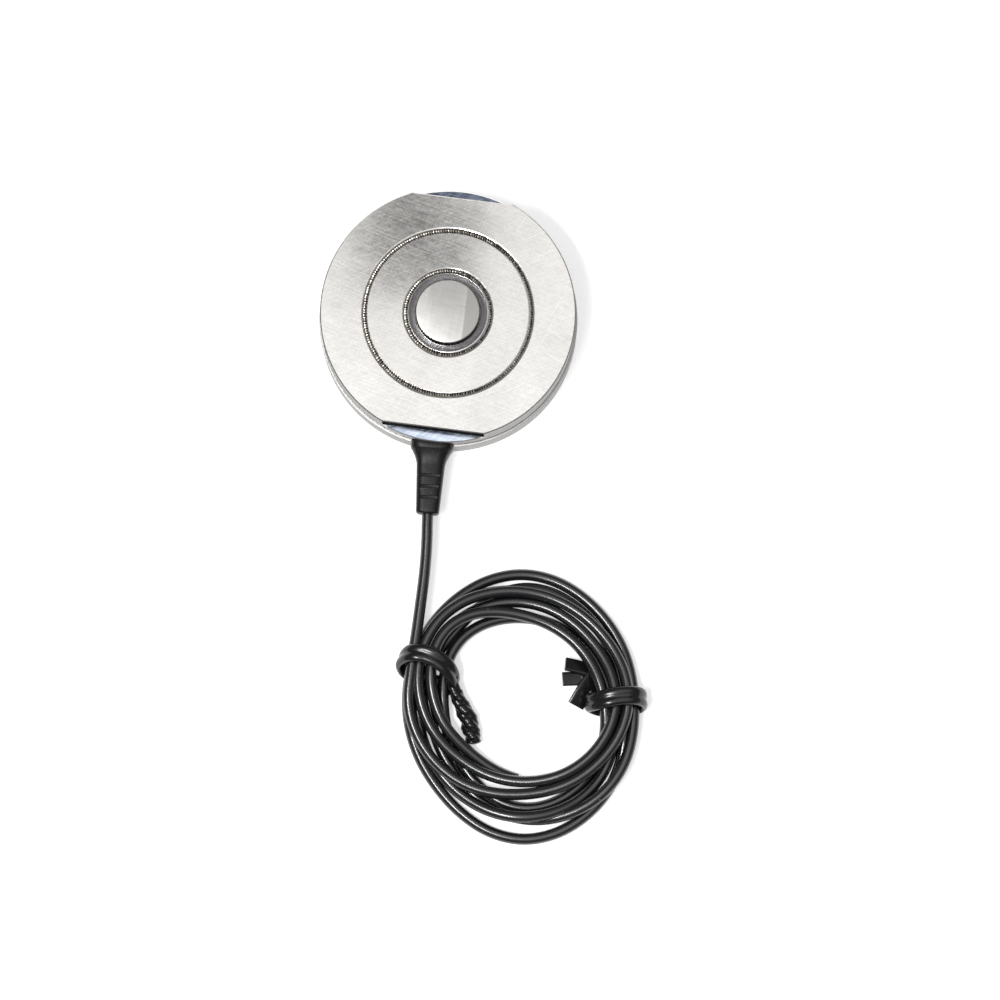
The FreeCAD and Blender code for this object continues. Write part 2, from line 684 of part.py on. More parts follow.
def build():
    """All the solids by node name."""
    lead, lead_length, lead_radii = tube(LEAD_POINTS, CABLE_RADIUS)
    print("lead radii", [round(r, 1) for r in lead_radii])
    print("lead volume over section times length", lead.Volume / (math.pi * CABLE_RADIUS**2 * lead_length))
    solids = {
        "housing": housing(),
        "base_cover": base_cover(),
        "base_weld": base_weld(),
        "sensing_element": sensing_element(),
        "top_cover": top_cover(),
        "cover_weld": seam_bead(COVER_SEAM_RADIUS, FIT),
        "load_button": load_button(),
        "button_weld": seam_bead(BUTTON_SEAM_RADIUS, FIT),
        "board_spacer": board_spacer(),
        "circuit_board": circuit_board(),
        "signal_chip": block((CHIP_SIDE, CHIP_SIDE, CHIP_HEIGHT), 0, CHIP_Y, BOARD_TOP),
        "cable_ferrule": cable_ferrule(),
        "strain_relief": strain_relief(lead),
        "cable_lead": lead,
        "cable_coil": cable_coil(lead),
        "tie_left": tie_left(),
        "tie_right": tie_right(),
    }
    for index in range(4):
        x = (index - 1.5) * RESISTOR_PITCH
        size = (RESISTOR_WIDTH, RESISTOR_LENGTH, RESISTOR_HEIGHT)
        solids["chip_resistor_%d" % (index + 1)] = block(size, x, RESISTOR_Y, BOARD_TOP)
    for index, x in enumerate(gauge_places()):
        size = (GAUGE_LENGTH, GAUGE_WIDTH, GAUGE_THICKNESS)
        solids["strain_gauge_%d" % (index + 1)] = block(size, x, 0, gauge_underside)
        solids["gauge_lead_%d" % (index + 1)] = gauge_lead(x, 1 if index % 2 else -1)
    for index, colour in enumerate(("red", "black", "green", "white")):
        solids["conductor_" + colour] = conductor(index)
    return solids


os.makedirs("parts", exist_ok=True)
for name, solid in build().items():
    print(name, "valid", solid.isValid(), "solids", len(solid.Solids), "volume %.3f" % solid.Volume)
    solid.exportStep("parts/%s.step" % name)
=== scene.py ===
import math
import random

import bmesh
import bpy
from mathutils import Matrix, Vector


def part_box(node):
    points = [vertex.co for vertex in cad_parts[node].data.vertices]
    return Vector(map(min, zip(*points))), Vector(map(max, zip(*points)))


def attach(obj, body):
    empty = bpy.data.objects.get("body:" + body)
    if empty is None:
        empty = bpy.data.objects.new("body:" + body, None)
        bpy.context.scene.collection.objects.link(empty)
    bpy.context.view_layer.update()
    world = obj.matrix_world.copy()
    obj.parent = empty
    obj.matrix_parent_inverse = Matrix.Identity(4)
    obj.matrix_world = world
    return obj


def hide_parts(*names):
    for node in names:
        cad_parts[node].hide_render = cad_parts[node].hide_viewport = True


# Looks of the compression load cell: ground stainless body with two weld beads, rubber strain
# relief, charcoal cable in a loose coil, and two glossy ribbon ties.
# Sizes are millimetres in the part's frame. They become metres where an object is made. Sizes that
# a CAD node's box shows are read from it.

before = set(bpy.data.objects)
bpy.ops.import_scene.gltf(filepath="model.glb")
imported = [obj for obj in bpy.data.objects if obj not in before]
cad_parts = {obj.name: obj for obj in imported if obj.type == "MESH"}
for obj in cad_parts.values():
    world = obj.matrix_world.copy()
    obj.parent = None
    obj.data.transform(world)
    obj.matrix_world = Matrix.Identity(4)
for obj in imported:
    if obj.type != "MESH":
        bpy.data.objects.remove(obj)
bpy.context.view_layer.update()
scene = bpy.context.scene
scene.view_settings.view_transform = "Standard"
MM = 0.001
MEASURED_DIGITS = 4
AXIS_Z = Vector((0, 0, 1))


def top_of(node):
    """Height of a CAD node's highest point."""
    return round(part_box(node)[1][2] / MM, MEASURED_DIGITS)


def foot_of(node):
    """Height of a CAD node's lowest point."""
    return round(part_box(node)[0][2] / MM, MEASURED_DIGITS)


def radius_of(node):
    """Reach of a CAD node from the load axis along X."""
    return round(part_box(node)[1][0] / MM, MEASURED_DIGITS)


# Housing
BODY_HEIGHT = top_of("housing")
LOWER_RING_RADIUS = radius_of("housing")
LOWER_RING_HEIGHT = 4.1
UPPER_RING_RADIUS = 15.6
FLAT_Y = 14.29
LEDGE_HEIGHT = 6.4
LEDGE_BEVEL = 0.09
LEDGE_BEVEL_SLOPE = 0.6
TOP_CHAMFER_WIDTH = 0.13
TOP_CHAMFER_DROP = 0.11
EDGE_SUPPORT = 0.06
# Width of the step's inner ring, next to the upper ring's wall, that is painted as shade
STEP_SHADE_WIDTH = 0.09
STEP_EASE = 0.1
WALL_FOOT_EASE = 0.03
BOTTOM_EASE = 0.3
BASE_RADIUS = 12.0
BASE_SEAT = top_of("base_cover")
BASE_EDGE_EASE = 0.05
CAVITY_RADIUS = 9.4
SENSOR_SEAT_HEIGHT = foot_of("sensing_element")
PORT_HEIGHT = 3.5
PORT_RADIUS = 0.95
PORT_SIDES = 48
COUNTERBORE_RADIUS = 1.68
COUNTERBORE_DEPTH = 3.3
WALL_SEGMENTS = 96
FLAT_SEGMENTS = 36

# Weld seams, the section of their beads and the beads' ripples
COVER_SEAM_RADIUS = 10.2
BUTTON_SEAM_RADIUS = 5.22
SEAM_HALF_WIDTH = 0.36
SEAM_DEPTH = 0.35
SEAM_EDGE_SUPPORT = 0.1
SEAM_EDGE_EASE = 0.04
BEAD_SHARE = 0.75
BEAD_CROWN = 0.06
BEAD_POWER = 2.5
BEAD_LIFT = 0.004
BEAD_SPANS = 16
UNDERCUT_DEPTH = 0.03
RIPPLE_PITCH = 0.31
RIPPLE_HEIGHT = 0.09
RIPPLE_HEIGHT_SHARES = (0.6, 1.4)
RIPPLE_SHIFT = 0.03
RIPPLE_SWEEP = 0.35
RIPPLE_SEGMENTS = 6
COVER_BEAD_SEED = 3
BUTTON_BEAD_SEED = 5

# Dark marks on the ripples, oxide in part and painted shade in part: toward the side that the lean angle
# points to they are denser and narrower as painted shade, and the bead's inner slope is painted lighter
# over a widening band
LIP_SHARE = 0.45
MARK_SHARES = (0.3, 0.75)
MARK_SHADE_LEAN = 0.2
SHADED_SIDE_NARROWING = 0.85
SHADED_SIDE_DEG = -15.0

# Load button
BUTTON_RADIUS = 3.95
BUTTON_TOP = top_of("load_button")
BUTTON_EDGE_WIDTH = 0.2
BUTTON_EDGE_DROP = 0.02
BUTTON_EDGE_EASE = 0.16
BUTTON_SIDES = 160
CROWN_SAG = 0.14
CROWN_STEPS = 12
FOOT_EASE = 0.06
# Width beyond the button's wall of the ring at its foot that is painted as shade
FOOT_SHADE_WIDTH = 0.17
DISH_DEPTH = 0.9
DISH_FLOOR_WIDTH = 0.25
DISH_EASE = 0.2
DISH_LIP_RADIUS = 4.8
DISH_LIP_EASE = 0.06
COLLAR_EDGE_EASE = 0.03
BOSS_TOP = 7.4
SPIGOT_RADIUS = 1.4
SPIGOT_FOOT = foot_of("load_button")

# Limits of the tests that pick faces to paint
RADIUS_SLACK = 0.02
HEIGHT_SLACK = 0.01
FLAT_SLACK = 0.05
LIP_SLACK = 0.03
CROWN_SLACK = 0.05
FLAT_FACING = 0.95
LEDGE_FACING = 0.9

# Strain relief
BOOT_ROOT_Y = -15.4
BOOT_SINK = 1.0
BOOT_FLANGE = (5.2, 4.4)
BOOT_NECK = (3.45, 3.2)
BOOT_END = (2.85, 2.6)
BOOT_RIM_LENGTH = 0.3
BOOT_FLARE_LENGTH = 2.6
BOOT_LENGTH = 8.4
BOOT_LEAN_DEG = 3.3
BOOT_FLARE_POWER = 1.8
BOOT_CORNER_POWER = 0.5
BOOT_END_ROUNDING = 0.35
BOOT_EDGE_BEVEL = 0.07
BOOT_BEVEL_DEG = 40.0
BOOT_BEVEL_STEPS = 3
BOOT_SIDES = 56
BOOT_FLARE_STEPS = 14
BOOT_TAPER_STEPS = 12
BOOT_END_STEPS = 5
BOOT_PLUG_RADIUS = 1.65
BOOT_PLUG_SIDES = 40
SLOT_COUNT = 3
SLOT_PITCH = 1.36
SLOT_WIDTH = 0.42
SLOT_DEPTH = 0.55
SLOT_RAIL = 0.42
LAST_SLOT_FROM_END = 1.95

# Cable: the lead's points, then radius and height of the coil's centre line at eight stations of
# each turn, from the left side downwards and round
CABLE_RADIUS = 0.7
CABLE_BEVEL_STEPS = 7
CABLE_SPAN_STEPS = 6
LEAD_POINTS = [
    (0.0, -8.0, PORT_HEIGHT),
    (0.0, -15.4, PORT_HEIGHT),
    (0.5, -24.2, PORT_HEIGHT),
    (0.9, -27.6, 3.42),
    (1.1, -31.4, 3.3),
    (1.08, -35.4, 3.2),
    (1.05, -39.2, 3.15),
    (0.97, -41.3, 3.15),
    (0.97, -43.2, 3.2),
]
COIL_X = 15.0
COIL_Y = -45.55
COIL_FIRST_DEG = 187.0
COIL_END_TRIM_DEG = 4.5
STATIONS = 8
POINTS_PER_STATION = 3
COIL_RADII = [
    [14.0, 12.6, 11.15, 11.6, 12.8, 12.75, 13.6, 14.4],
    [12.5, 10.2, 9.65, 10.35, 11.25, 11.2, 12.35, 12.8],
    [11.4, 11.9, 14.15, 14.7, 13.45, 14.3, 15.9, 14.75],
    [14.1, 14.6, 16.65, 14.8, 12.1, 12.9, 14.25, 12.0],
    [12.8, 13.3, 14.0, 13.15, 10.75, 10.3, 10.5, 10.9],
    [9.7, 10.5, 12.85, 11.75, 9.85, 9.6, 10.6, 12.95],
    [10.8, 8.8, 9.2],
]
COIL_HEIGHTS = [
    [3.1, 2.2, 2.25, 2.75, 3.05, 2.1, 2.0, 2.95],
    [3.1, 2.07, 2.25, 2.85, 3.05, 2.0, 1.4, 1.75],
    [1.75, 0.8, 1.1, 2.1, 1.75, 0.9, 0.7, 1.75],
    [1.8, 0.7, 0.7, 0.7, 1.75, 0.7, 0.7, 0.75],
    [1.8, 1.1, 2.5, 0.9, 1.7, 0.8, 0.7, 1.3],
    [1.75, 0.7, 0.7, 0.7, 2.5, 2.05, 2.1, 3.0],
    [3.1, 1.8, 0.7],
]

# Ribbon ties: section of the ribbon and points on the middle line of each band
RIBBON_WIDTH = 2.3
RIBBON_OUTER = 0.55
RIBBON_INNER = 0.3
RIBBON_GROOVE = 0.14
RIBBON_GROOVE_SHARE = 0.26
RIBBON_OUTER_POWER = 4
RIBBON_INNER_POWER = 6
RIBBON_STEPS = 20
BAND_SAMPLES = 140
FLOOR_CLEARANCE = 0.02
LEFT_BAND = [
    (-0.35, -42.4, 1.9),
    (0.0, -41.75, 3.3),
    (0.9, -41.4, 4.3),
    (2.4, -41.35, 4.6),
    (4.0, -41.8, 4.5),
    (5.4, -42.7, 3.9),
    (6.3, -43.8, 2.5),
    (6.2, -44.5, 1.2),
    (5.0, -44.7, 0.55),
    (2.6, -44.1, 0.5),
    (0.5, -43.3, 0.55),
]
RIGHT_BAND = [
    (23.0, -44.6, 1.9),
    (23.6, -44.45, 3.4),
    (24.8, -44.05, 4.35),
    (26.5, -43.5, 4.6),
    (28.2, -43.2, 4.35),
    (29.2, -43.2, 3.2),
    (29.45, -43.5, 1.7),
    (28.8, -44.0, 0.65),
    (26.6, -44.5, 0.5),
    (24.4, -44.8, 0.6),
]

# Long twisted tail: place and radius at each point, then its twist, its swelling and its round end
LEFT_TAIL = [
    (6.1, -43.5, 2.6, 0.7),
    (6.5, -44.9, 2.2, 0.78),
    (7.1, -46.0, 1.8, 0.9),
    (7.8, -47.1, 1.5, 1.05),
    (8.6, -48.3, 1.3, 1.15),
    (9.1, -49.6, 1.2, 1.12),
    (9.5, -50.6, 1.15, 1.0),
    (9.7, -51.3, 1.1, 0.8),
]
TAIL_TURNS = -1.7
TAIL_LOBES = 3
TAIL_LOBE_DEPTH = 0.2
TAIL_LOBE_SIDES = 16
TAIL_SAMPLES = 160
TAIL_SWELL = 0.06
TAIL_SWELL_RATES = (0.31, 0.13)
TAIL_SWELL_PHASE = 1.0
TAIL_END_SAMPLES = 10
TAIL_TIP_SHARE = 0.1

# Clipped ends: width, lean about their length in degrees, and points
CLIPPED_ENDS = [
    (2.9, 24, [(24.6, -43.8, 1.0), (23.7, -42.2, 1.0), (22.5, -40.7, 1.1)]),
    (1.8, 26, [(23.3, -40.7, 1.2), (21.4, -40.35, 1.6), (19.5, -40.2, 2.0)]),
    (1.75, 6, [(22.9, -41.5, 1.3), (21.0, -41.8, 1.6), (19.4, -42.1, 1.9)]),
    (2.2, -24, [(23.4, -41.0, 1.4), (22.4, -42.8, 1.7), (21.4, -45.1, 1.4)]),
]
CLIPPED_THICKNESS = 0.5
CLIPPED_WIDTH_POWER = 0.4
CLIPPED_THICKNESS_POWER = 0.7
CLIPPED_SIDES = 32
CLIPPED_SAMPLES = 16

# Floor, the dome's light by the height of a direction, the strip lamp and the grey card
FLOOR_HALF = 4000.0
FLOOR_TOP = -0.02
FLOOR_THICKNESS = 0.48
FLOOR_TONE = 0.9
FLOOR_GLOW = 0.5
HORIZON_LIGHT = 0.2
ZENITH_LIGHT = 1.1
ZENITH_FROM = 0.78
ZENITH_FULL = 0.94
STRIP_PLACE = Vector((-103, -121, 440))
STRIP_TARGET = Vector((15, -45, 0))
STRIP_ALONG = Vector((0.67, -0.74, 0))
STRIP_SIZE = (180, 48)
STRIP_POWER = 1.25
FLAG_PLACE = (-11, 36, 140.5)
FLAG_SIZE = (19, 20, 1)
FLAG_DARK = (0.14, 0.14, 0.14)
FLAG_LIGHT = (0.16, 0.16, 0.16)
FLAG_GRAIN = 0.2
FLAG_ROUGHNESS = (0.8, 0.9)

# Camera
CAMERA_AIM = Vector((9.0414, -20.9076, 0.0))
CAMERA_DISTANCE = 500.0
CAMERA_ROLL_DEG = 7.2
CAMERA_TILT_DEG = 7.65
CAMERA_LENS = 146.0055
CAMERA_SENSOR = 36.0

# Meshes: steps of a rounded corner, angle of a sharp edge, and in metres the distance at which two
# points are one and the length at which an edge is none
EASE_STEPS = 4
SHARP_DEG = 38.0
SAME_PLACE = 1e-7
NO_LENGTH = 1e-8


def skin(loops, closed):
    """Points and faces of a surface over loops of equally many points, with flat ends unless closed."""
    count = len(loops[0])
    points = [point for loop in loops for point in loop]
    faces = []
    strips = len(loops) if closed else len(loops) - 1
    for i in range(strips):
        a = i * count
        b = (i + 1) % len(loops) * count
        for j in range(count):
            k = (j + 1) % count
            faces.append((a + j, a + k, b + k, b + j))
    if not closed:
        faces.append(tuple(reversed(range(count))))
        faces.append(tuple(range(len(points) - count, len(points))))
    return points, faces


def smooth(mesh):
    """Smooth shading between faces that meet at a low angle."""
    mesh.polygons.foreach_set("use_smooth", [True] * len(mesh.polygons))
    mesh.set_sharp_from_angle(angle=math.radians(SHARP_DEG))


def add_mesh(name, loops, closed=False):
    """Mesh object over loops of points in millimetres."""
    points, faces = skin(loops, closed)
    mesh = bpy.data.meshes.new(name)
    mesh.from_pydata([Vector(p) * MM for p in points], [], faces)
    work = bmesh.new()
    work.from_mesh(mesh)
    bmesh.ops.remove_doubles(work, verts=work.verts, dist=SAME_PLACE)
    bmesh.ops.dissolve_degenerate(work, dist=NO_LENGTH, edges=work.edges)
    bmesh.ops.recalc_face_normals(work, faces=work.faces)
    work.to_mesh(mesh)
    work.free()
    smooth(mesh)
    obj = bpy.data.objects.new(name, mesh)
    scene.collection.objects.link(obj)
    return obj


def bake_modifiers(obj):
    """The object's mesh as its modifiers make it."""
    depsgraph = bpy.context.evaluated_depsgraph_get()
    baked = bpy.data.meshes.new_from_object(obj.evaluated_get(depsgraph))
    old = obj.data
    obj.modifiers.clear()
    obj.data = baked
    bpy.data.meshes.remove(old)
    smooth(baked)


def carve(obj, cutter, operation="DIFFERENCE"):
    """Cuts one mesh object out of another, or joins it on, and removes it."""
    cut = obj.modifiers.new("cut", "BOOLEAN")
    cut.object = cutter
    cut.operation = operation
    cut.solver = "EXACT"
    bake_modifiers(obj)
    bpy.data.objects.remove(cutter)


def paint(obj, material, covers):
    """Gives another material to the faces that a test of centre, in millimetres, and normal picks."""
    obj.data.materials.append(material)
    for face in obj.data.polygons:
        if covers(face.center / MM, face.normal):
            face.material_index = len(obj.data.materials) - 1


def finish_piece(obj, material, slot, *nodes):
    """Material, body and replaced CAD nodes of a piece; the slot is not used."""
    obj.data.materials.clear()
    obj.data.materials.append(material)
    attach(obj, "root")
    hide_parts(*nodes)
    return obj


def eased(corners):
    """Profile through (radius, height, ease) corners, each rounded over its ease."""
    profile = []
    last = len(corners) - 1
    for index, (r, z, ease) in enumerate(corners):
        corner = Vector((r, z))
        if ease == 0 or index in (0, last):
            profile.append((r, z))
            continue
        before = corner + (Vector(corners[index - 1][:2]) - corner).normalized() * ease
        after = corner + (Vector(corners[index + 1][:2]) - corner).normalized() * ease
        for step in range(EASE_STEPS + 1):
            t = step / EASE_STEPS
            point = before * (1 - t) ** 2 + corner * (2 * t * (1 - t)) + after * t**2
            profile.append((point.x, point.y))
    return profile


def ring(radius, height, angles, chord=None):
    """Circle of points about the load axis, cut to two flats where a chord is given."""
    points = []
    for angle in angles:
        x = radius * math.cos(angle)
        y = radius * math.sin(angle)
        if chord:
            y = max(-chord, min(chord, y))
        points.append((x, y, height))
    return points


def even_angles(count):
    """Angles of equal steps round a full turn."""
    return [2 * math.pi * i / count for i in range(count)]


def squared_off(value, power):
    """Sine or cosine raised to a power with its sign kept, which turns a circle into a rounded box."""
    return math.copysign(abs(value) ** power, value)


def curve_between(a, b, c, d, t):
    """Point at a share of the way from b to c on a smooth curve through a, b, c and d."""
    straight = 2 * b + (c - a) * t
    bend = (2 * a - 5 * b + 4 * c - d) * t**2
    return 0.5 * (straight + bend + (3 * b - a - 3 * c + d) * t**3)


def spline(points, samples, closed=False):
    """Points of a smooth line through the given points, with as many samples as asked for."""
    places = [Vector(p) for p in points]
    count = len(places)
    spans = count if closed else count - 1

    def at(index):
        return places[index % count] if closed else places[max(0, min(count - 1, index))]

    line = []
    steps = samples if closed else samples - 1
    for k in range(samples):
        position = k * spans / steps
        i = min(int(position), spans - 1)
        line.append(curve_between(at(i - 1), at(i), at(i + 1), at(i + 2), position - i))
    return line


def tangents(line, closed=False):
    """Unit direction at each point of a line."""
    count = len(line)
    result = []
    for k in range(count):
        before = line[k - 1] if closed or k > 0 else line[k]
        after = line[(k + 1) % count] if closed or k < count - 1 else line[k]
        result.append((after - before).normalized())
    return result


# Materials: middle of a noise and the range of it that shows, dust, and the strokes, clouds and
# scratches of ground steel
GRAIN_MIDDLE = 0.5
GRAIN_RANGE = (0.3, 0.7)
GRAIN_ROUGHNESS = 0.55
REFRACTION = 1.5
DUST_SOFTNESS = 0.04
STROKE_DETAIL = 2.0
CLOUD_GRAIN = (0.16, 0.16, 0.16)
CLOUD_WEIGHT = 0.8
SCRATCH_DIRECTIONS_DEG = (-24.0, 31.0, 68.0)
SCRATCH_GRAIN = (0.11, 5.5, 0.11)
SCRATCH_LIMITS = (0.765, 0.8)
SCRATCH_WEIGHT = 0.35


def new_material(name, metallic=0.0, edge=1.0, gloss=0.5):
    """Node material with its tree and main shader.

    Edge is the share of a metal's reflection that is left at a grazing angle, and gloss is the
    strength of the reflection of other materials.
    """
    material = bpy.data.materials.new(name)
    material.use_nodes = True
    shader = material.node_tree.nodes["Principled BSDF"]
    shader.inputs["Metallic"].default_value = metallic
    shader.inputs["IOR"].default_value = REFRACTION
    shader.inputs["Specular IOR Level"].default_value = gloss
    shader.inputs["Specular Tint"].default_value = (edge, edge, edge, 1)
    return material, material.node_tree, shader


def grain(tree, scale, rotation_deg=0.0, detail=3.0):
    """Noise in object space, with its frequency per millimetre along three axes."""
    place = tree.nodes.new("ShaderNodeTexCoord")
    turn = tree.nodes.new("ShaderNodeMapping")
    turn.vector_type = "TEXTURE"
    turn.inputs["Rotation"].default_value = (0, 0, math.radians(rotation_deg))
    turn.inputs["Scale"].default_value = tuple(MM / s for s in scale)
    noise = tree.nodes.new("ShaderNodeTexNoise")
    noise.inputs["Scale"].default_value = 1.0
    noise.inputs["Detail"].default_value = detail
    noise.inputs["Roughness"].default_value = GRAIN_ROUGHNESS
    tree.links.new(place.outputs["Object"], turn.inputs["Vector"])
    tree.links.new(turn.outputs["Vector"], noise.inputs["Vector"])
    return noise.outputs["Fac"]


def remap(tree, value, low, high, to_low, to_high):
    """Value moved from one range to another and kept inside it."""
    node = tree.nodes.new("ShaderNodeMapRange")
    node.inputs["From Min"].default_value = low
    node.inputs["From Max"].default_value = high
    node.inputs["To Min"].default_value = to_low
    node.inputs["To Max"].default_value = to_high
    tree.links.new(value, node.inputs["Value"])
    return node.outputs["Result"]


def maths(tree, operation, a, b):
    """One arithmetic step on two values, each a socket or a number."""
    node = tree.nodes.new("ShaderNodeMath")
    node.operation = operation
    for socket, value in zip(node.inputs, (a, b)):
        if isinstance(value, (int, float)):
            socket.default_value = value
        else:
            tree.links.new(value, socket)
    return node.outputs["Value"]


def tint(tree, value, dark, light):
    """Colour between two colours by a value from 0 to 1."""
    ramp = tree.nodes.new("ShaderNodeValToRGB")
    ramp.color_ramp.elements[0].color = (*dark, 1)
    ramp.color_ramp.elements[1].color = (*light, 1)
    tree.links.new(value, ramp.inputs["Fac"])
    return ramp.outputs["Color"]


def bump(tree, shader, height, depth):
    """Surface relief of the given depth in millimetres."""
    node = tree.nodes.new("ShaderNodeBump")
    node.inputs["Distance"].default_value = depth * MM
    tree.links.new(height, node.inputs["Height"])
    tree.links.new(node.outputs["Normal"], shader.inputs["Normal"])


def dusted(tree, colour, scale, limit, dust):
    """Colour with sparse pale specks of dust."""
    noise = grain(tree, (scale, scale, scale), detail=1.0)
    specks = remap(tree, noise, limit, limit + DUST_SOFTNESS, 0, 1)
    blend = tree.nodes.new("ShaderNodeMixRGB")
    blend.inputs["Color2"].default_value = (*dust, 1)
    tree.links.new(specks, blend.inputs["Fac"])
    tree.links.new(colour, blend.inputs["Color1"])
    return blend.outputs["Color"]


def plain_material(name, dark, light, scale, roughness, depth=0.01, dust=None, **shading):
    """Material with a fine even grain in its colour, gloss and relief, and dust where it is given."""
    material, tree, shader = new_material(name, **shading)
    value = grain(tree, scale if isinstance(scale, tuple) else (scale, scale, scale))
    colour = tint(tree, remap(tree, value, *GRAIN_RANGE, 0, 1), dark, light)
    if dust:
        colour = dusted(tree, colour, *dust)
    tree.links.new(colour, shader.inputs["Base Color"])
    tree.links.new(remap(tree, value, *GRAIN_RANGE, *roughness), shader.inputs["Roughness"])
    bump(tree, shader, value, depth)
    return material


def coordinate(tree, space, axis):
    """One coordinate of a place on the object, or of a direction in the world."""
    place = tree.nodes.new("ShaderNodeTexCoord")
    axes = tree.nodes.new("ShaderNodeSeparateXYZ")
    tree.links.new(place.outputs[space], axes.inputs["Vector"])
    return axes.outputs[axis]


def ground_steel(name, dark, light, roughness, strokes, depth, band=None):
    """Ground stainless steel: fine strokes, faint clouds and sparse scratches.

    A band paints a dark reflection, as painted shade, beyond a place on the X axis.
    """
    material, tree, shader = new_material(name, metallic=1.0)
    total = None
    for angle, along, across, weight in strokes:
        layer = grain(tree, (along, across, along), angle, STROKE_DETAIL)
        part = maths(tree, "MULTIPLY", maths(tree, "SUBTRACT", layer, GRAIN_MIDDLE), weight)
        total = part if total is None else maths(tree, "ADD", total, part)
    clouds = grain(tree, CLOUD_GRAIN, detail=STROKE_DETAIL)
    smear = maths(tree, "MULTIPLY", maths(tree, "SUBTRACT", clouds, GRAIN_MIDDLE), CLOUD_WEIGHT)
    surface = maths(tree, "ADD", maths(tree, "ADD", total, smear), GRAIN_MIDDLE)
    # Painted dark reflection beyond a place on X
    if band:
        start, stop, fall = band
        shadow = remap(tree, coordinate(tree, "Object", "X"), start * MM, stop * MM, 0, fall)
        surface = maths(tree, "SUBTRACT", surface, shadow)
    scratch = None
    for angle in SCRATCH_DIRECTIONS_DEG:
        line = remap(tree, grain(tree, SCRATCH_GRAIN, angle, detail=0.0), *SCRATCH_LIMITS, 0, 1)
        scratch = line if scratch is None else maths(tree, "MAXIMUM", scratch, line)
    shade = maths(tree, "ADD", surface, maths(tree, "MULTIPLY", scratch, SCRATCH_WEIGHT))
    tree.links.new(tint(tree, shade, dark, light), shader.inputs["Base Color"])
    tree.links.new(remap(tree, surface, 0.0, 1.0, *roughness), shader.inputs["Roughness"])
    bump(tree, shader, total, depth)
    return material


# Strokes of the grinding: direction, frequency along and across it per millimetre, and weight
FACE_STROKES = [
    (-14.0, 0.35, 4.6, 1.0),
    (28.0, 0.45, 4.8, 0.75),
    (74.0, 0.6, 4.8, 0.45),
    (-52.0, 0.6, 4.6, 0.45),
]
BUTTON_STROKES = [(88.0, 0.2, 3.4, 0.35), (-14.0, 0.6, 3.0, 0.4)]
LEDGE_STROKES = [(-4.0, 0.25, 4.0, 1.5), (38.0, 0.5, 3.0, 1.2)]
# Painted dark reflection on one side of the button: where it starts along X, where it is full, and how dark
# it is
BUTTON_PAINTED_REFLECTION = (2.0, 2.25, 0.6)
# Turning lines: noise that is long round the axis and fine along it
TURNED_GRAIN = (0.12, 0.12, 7.0)

steel = ground_steel(
    "ground_steel", (0.68, 0.663, 0.637), (0.93, 0.912, 0.885), (0.12, 0.19), FACE_STROKES, 0.0007
)
# The button's steel, with a painted dark reflection on one side
button_steel = ground_steel(
    "button_steel", (0.4, 0.39, 0.375), (0.72, 0.71, 0.69), (0.26, 0.34), BUTTON_STROKES, 0.0006,
    band=BUTTON_PAINTED_REFLECTION,
)
ledge_steel = ground_steel(
    "ledge_steel", (0.36, 0.44, 0.62), (0.84, 0.9, 0.99), (0.12, 0.22), LEDGE_STROKES, 0.002
)
# Painted shade: a darker copy of the ledge steel for the ledge on the side away from the cable
shaded_upper_ledge_steel = ground_steel(
    "shaded_upper_ledge_steel", (0.08, 0.1, 0.15), (0.36, 0.41, 0.52), (0.12, 0.22), LEDGE_STROKES, 0.002
)
wall_steel = plain_material(
    "wall_steel", (0.5, 0.495, 0.485), (0.62, 0.615, 0.6), TURNED_GRAIN, (0.44, 0.52), 0.0004,
    metallic=1.0, edge=0.4,
)
skirt_steel = plain_material(
    "skirt_steel", (0.52, 0.515, 0.505), (0.64, 0.635, 0.62), TURNED_GRAIN, (0.46, 0.54), 0.0004,
    metallic=1.0, edge=0.4,
)
dish_steel = plain_material(
    "dish_steel", (0.7, 0.69, 0.705), (0.84, 0.83, 0.845), 2.0, (0.36, 0.44), 0.0002, metallic=1.0
)
# Painted shade: darker steel with no reflection left at a grazing angle, for the walls of the spanner flats
flat_shade_steel = plain_material(
    "flat_shade_steel", (0.3, 0.3, 0.305), (0.42, 0.42, 0.425), 4.0, (0.1, 0.18), 0.001, metallic=1.0, edge=0.0
)
# Painted shade: darker steel with no reflection left at a grazing angle, for the corner at the foot of the
# upper ring's wall and for the button's wall and foot
crevice_shade_steel = plain_material(
    "crevice_shade_steel", (0.26, 0.255, 0.255), (0.42, 0.415, 0.41), 5.0, (0.2, 0.34), 0.0008,
    metallic=1.0, edge=0.0,
)
# Dark oxide on the weld ripples, also used as painted shade where the marks crowd toward one side
oxide_and_shade_steel = plain_material(
    "oxide_and_shade_steel", (0.02, 0.017, 0.014), (0.1, 0.085, 0.07), 4.0, (0.3, 0.5), 0.004, metallic=1.0, edge=0.3
)
weld_steel = plain_material(
    "weld_steel", (0.34, 0.3, 0.26), (0.72, 0.69, 0.64), 6.0, (0.22, 0.42), 0.01, metallic=1.0
)
boot_rubber = plain_material(
    "boot_rubber", (0.004, 0.004, 0.004), (0.012, 0.012, 0.011), 9.0, (0.3, 0.44), 0.012,
    dust=(5.0, 0.7, (0.09, 0.09, 0.085)), gloss=0.22,
)
cable_jacket = plain_material(
    "cable_jacket", (0.004, 0.0042, 0.005), (0.009, 0.0095, 0.011), 6.0, (0.2, 0.26), 0.0006,
    dust=(2.2, 0.79, (0.12, 0.12, 0.12)), gloss=1.0,
)
tie_ribbon = plain_material(
    "tie_ribbon", (0.004, 0.004, 0.005), (0.01, 0.01, 0.011), 4.0, (0.18, 0.25), 0.002, gloss=0.55
)


# Body

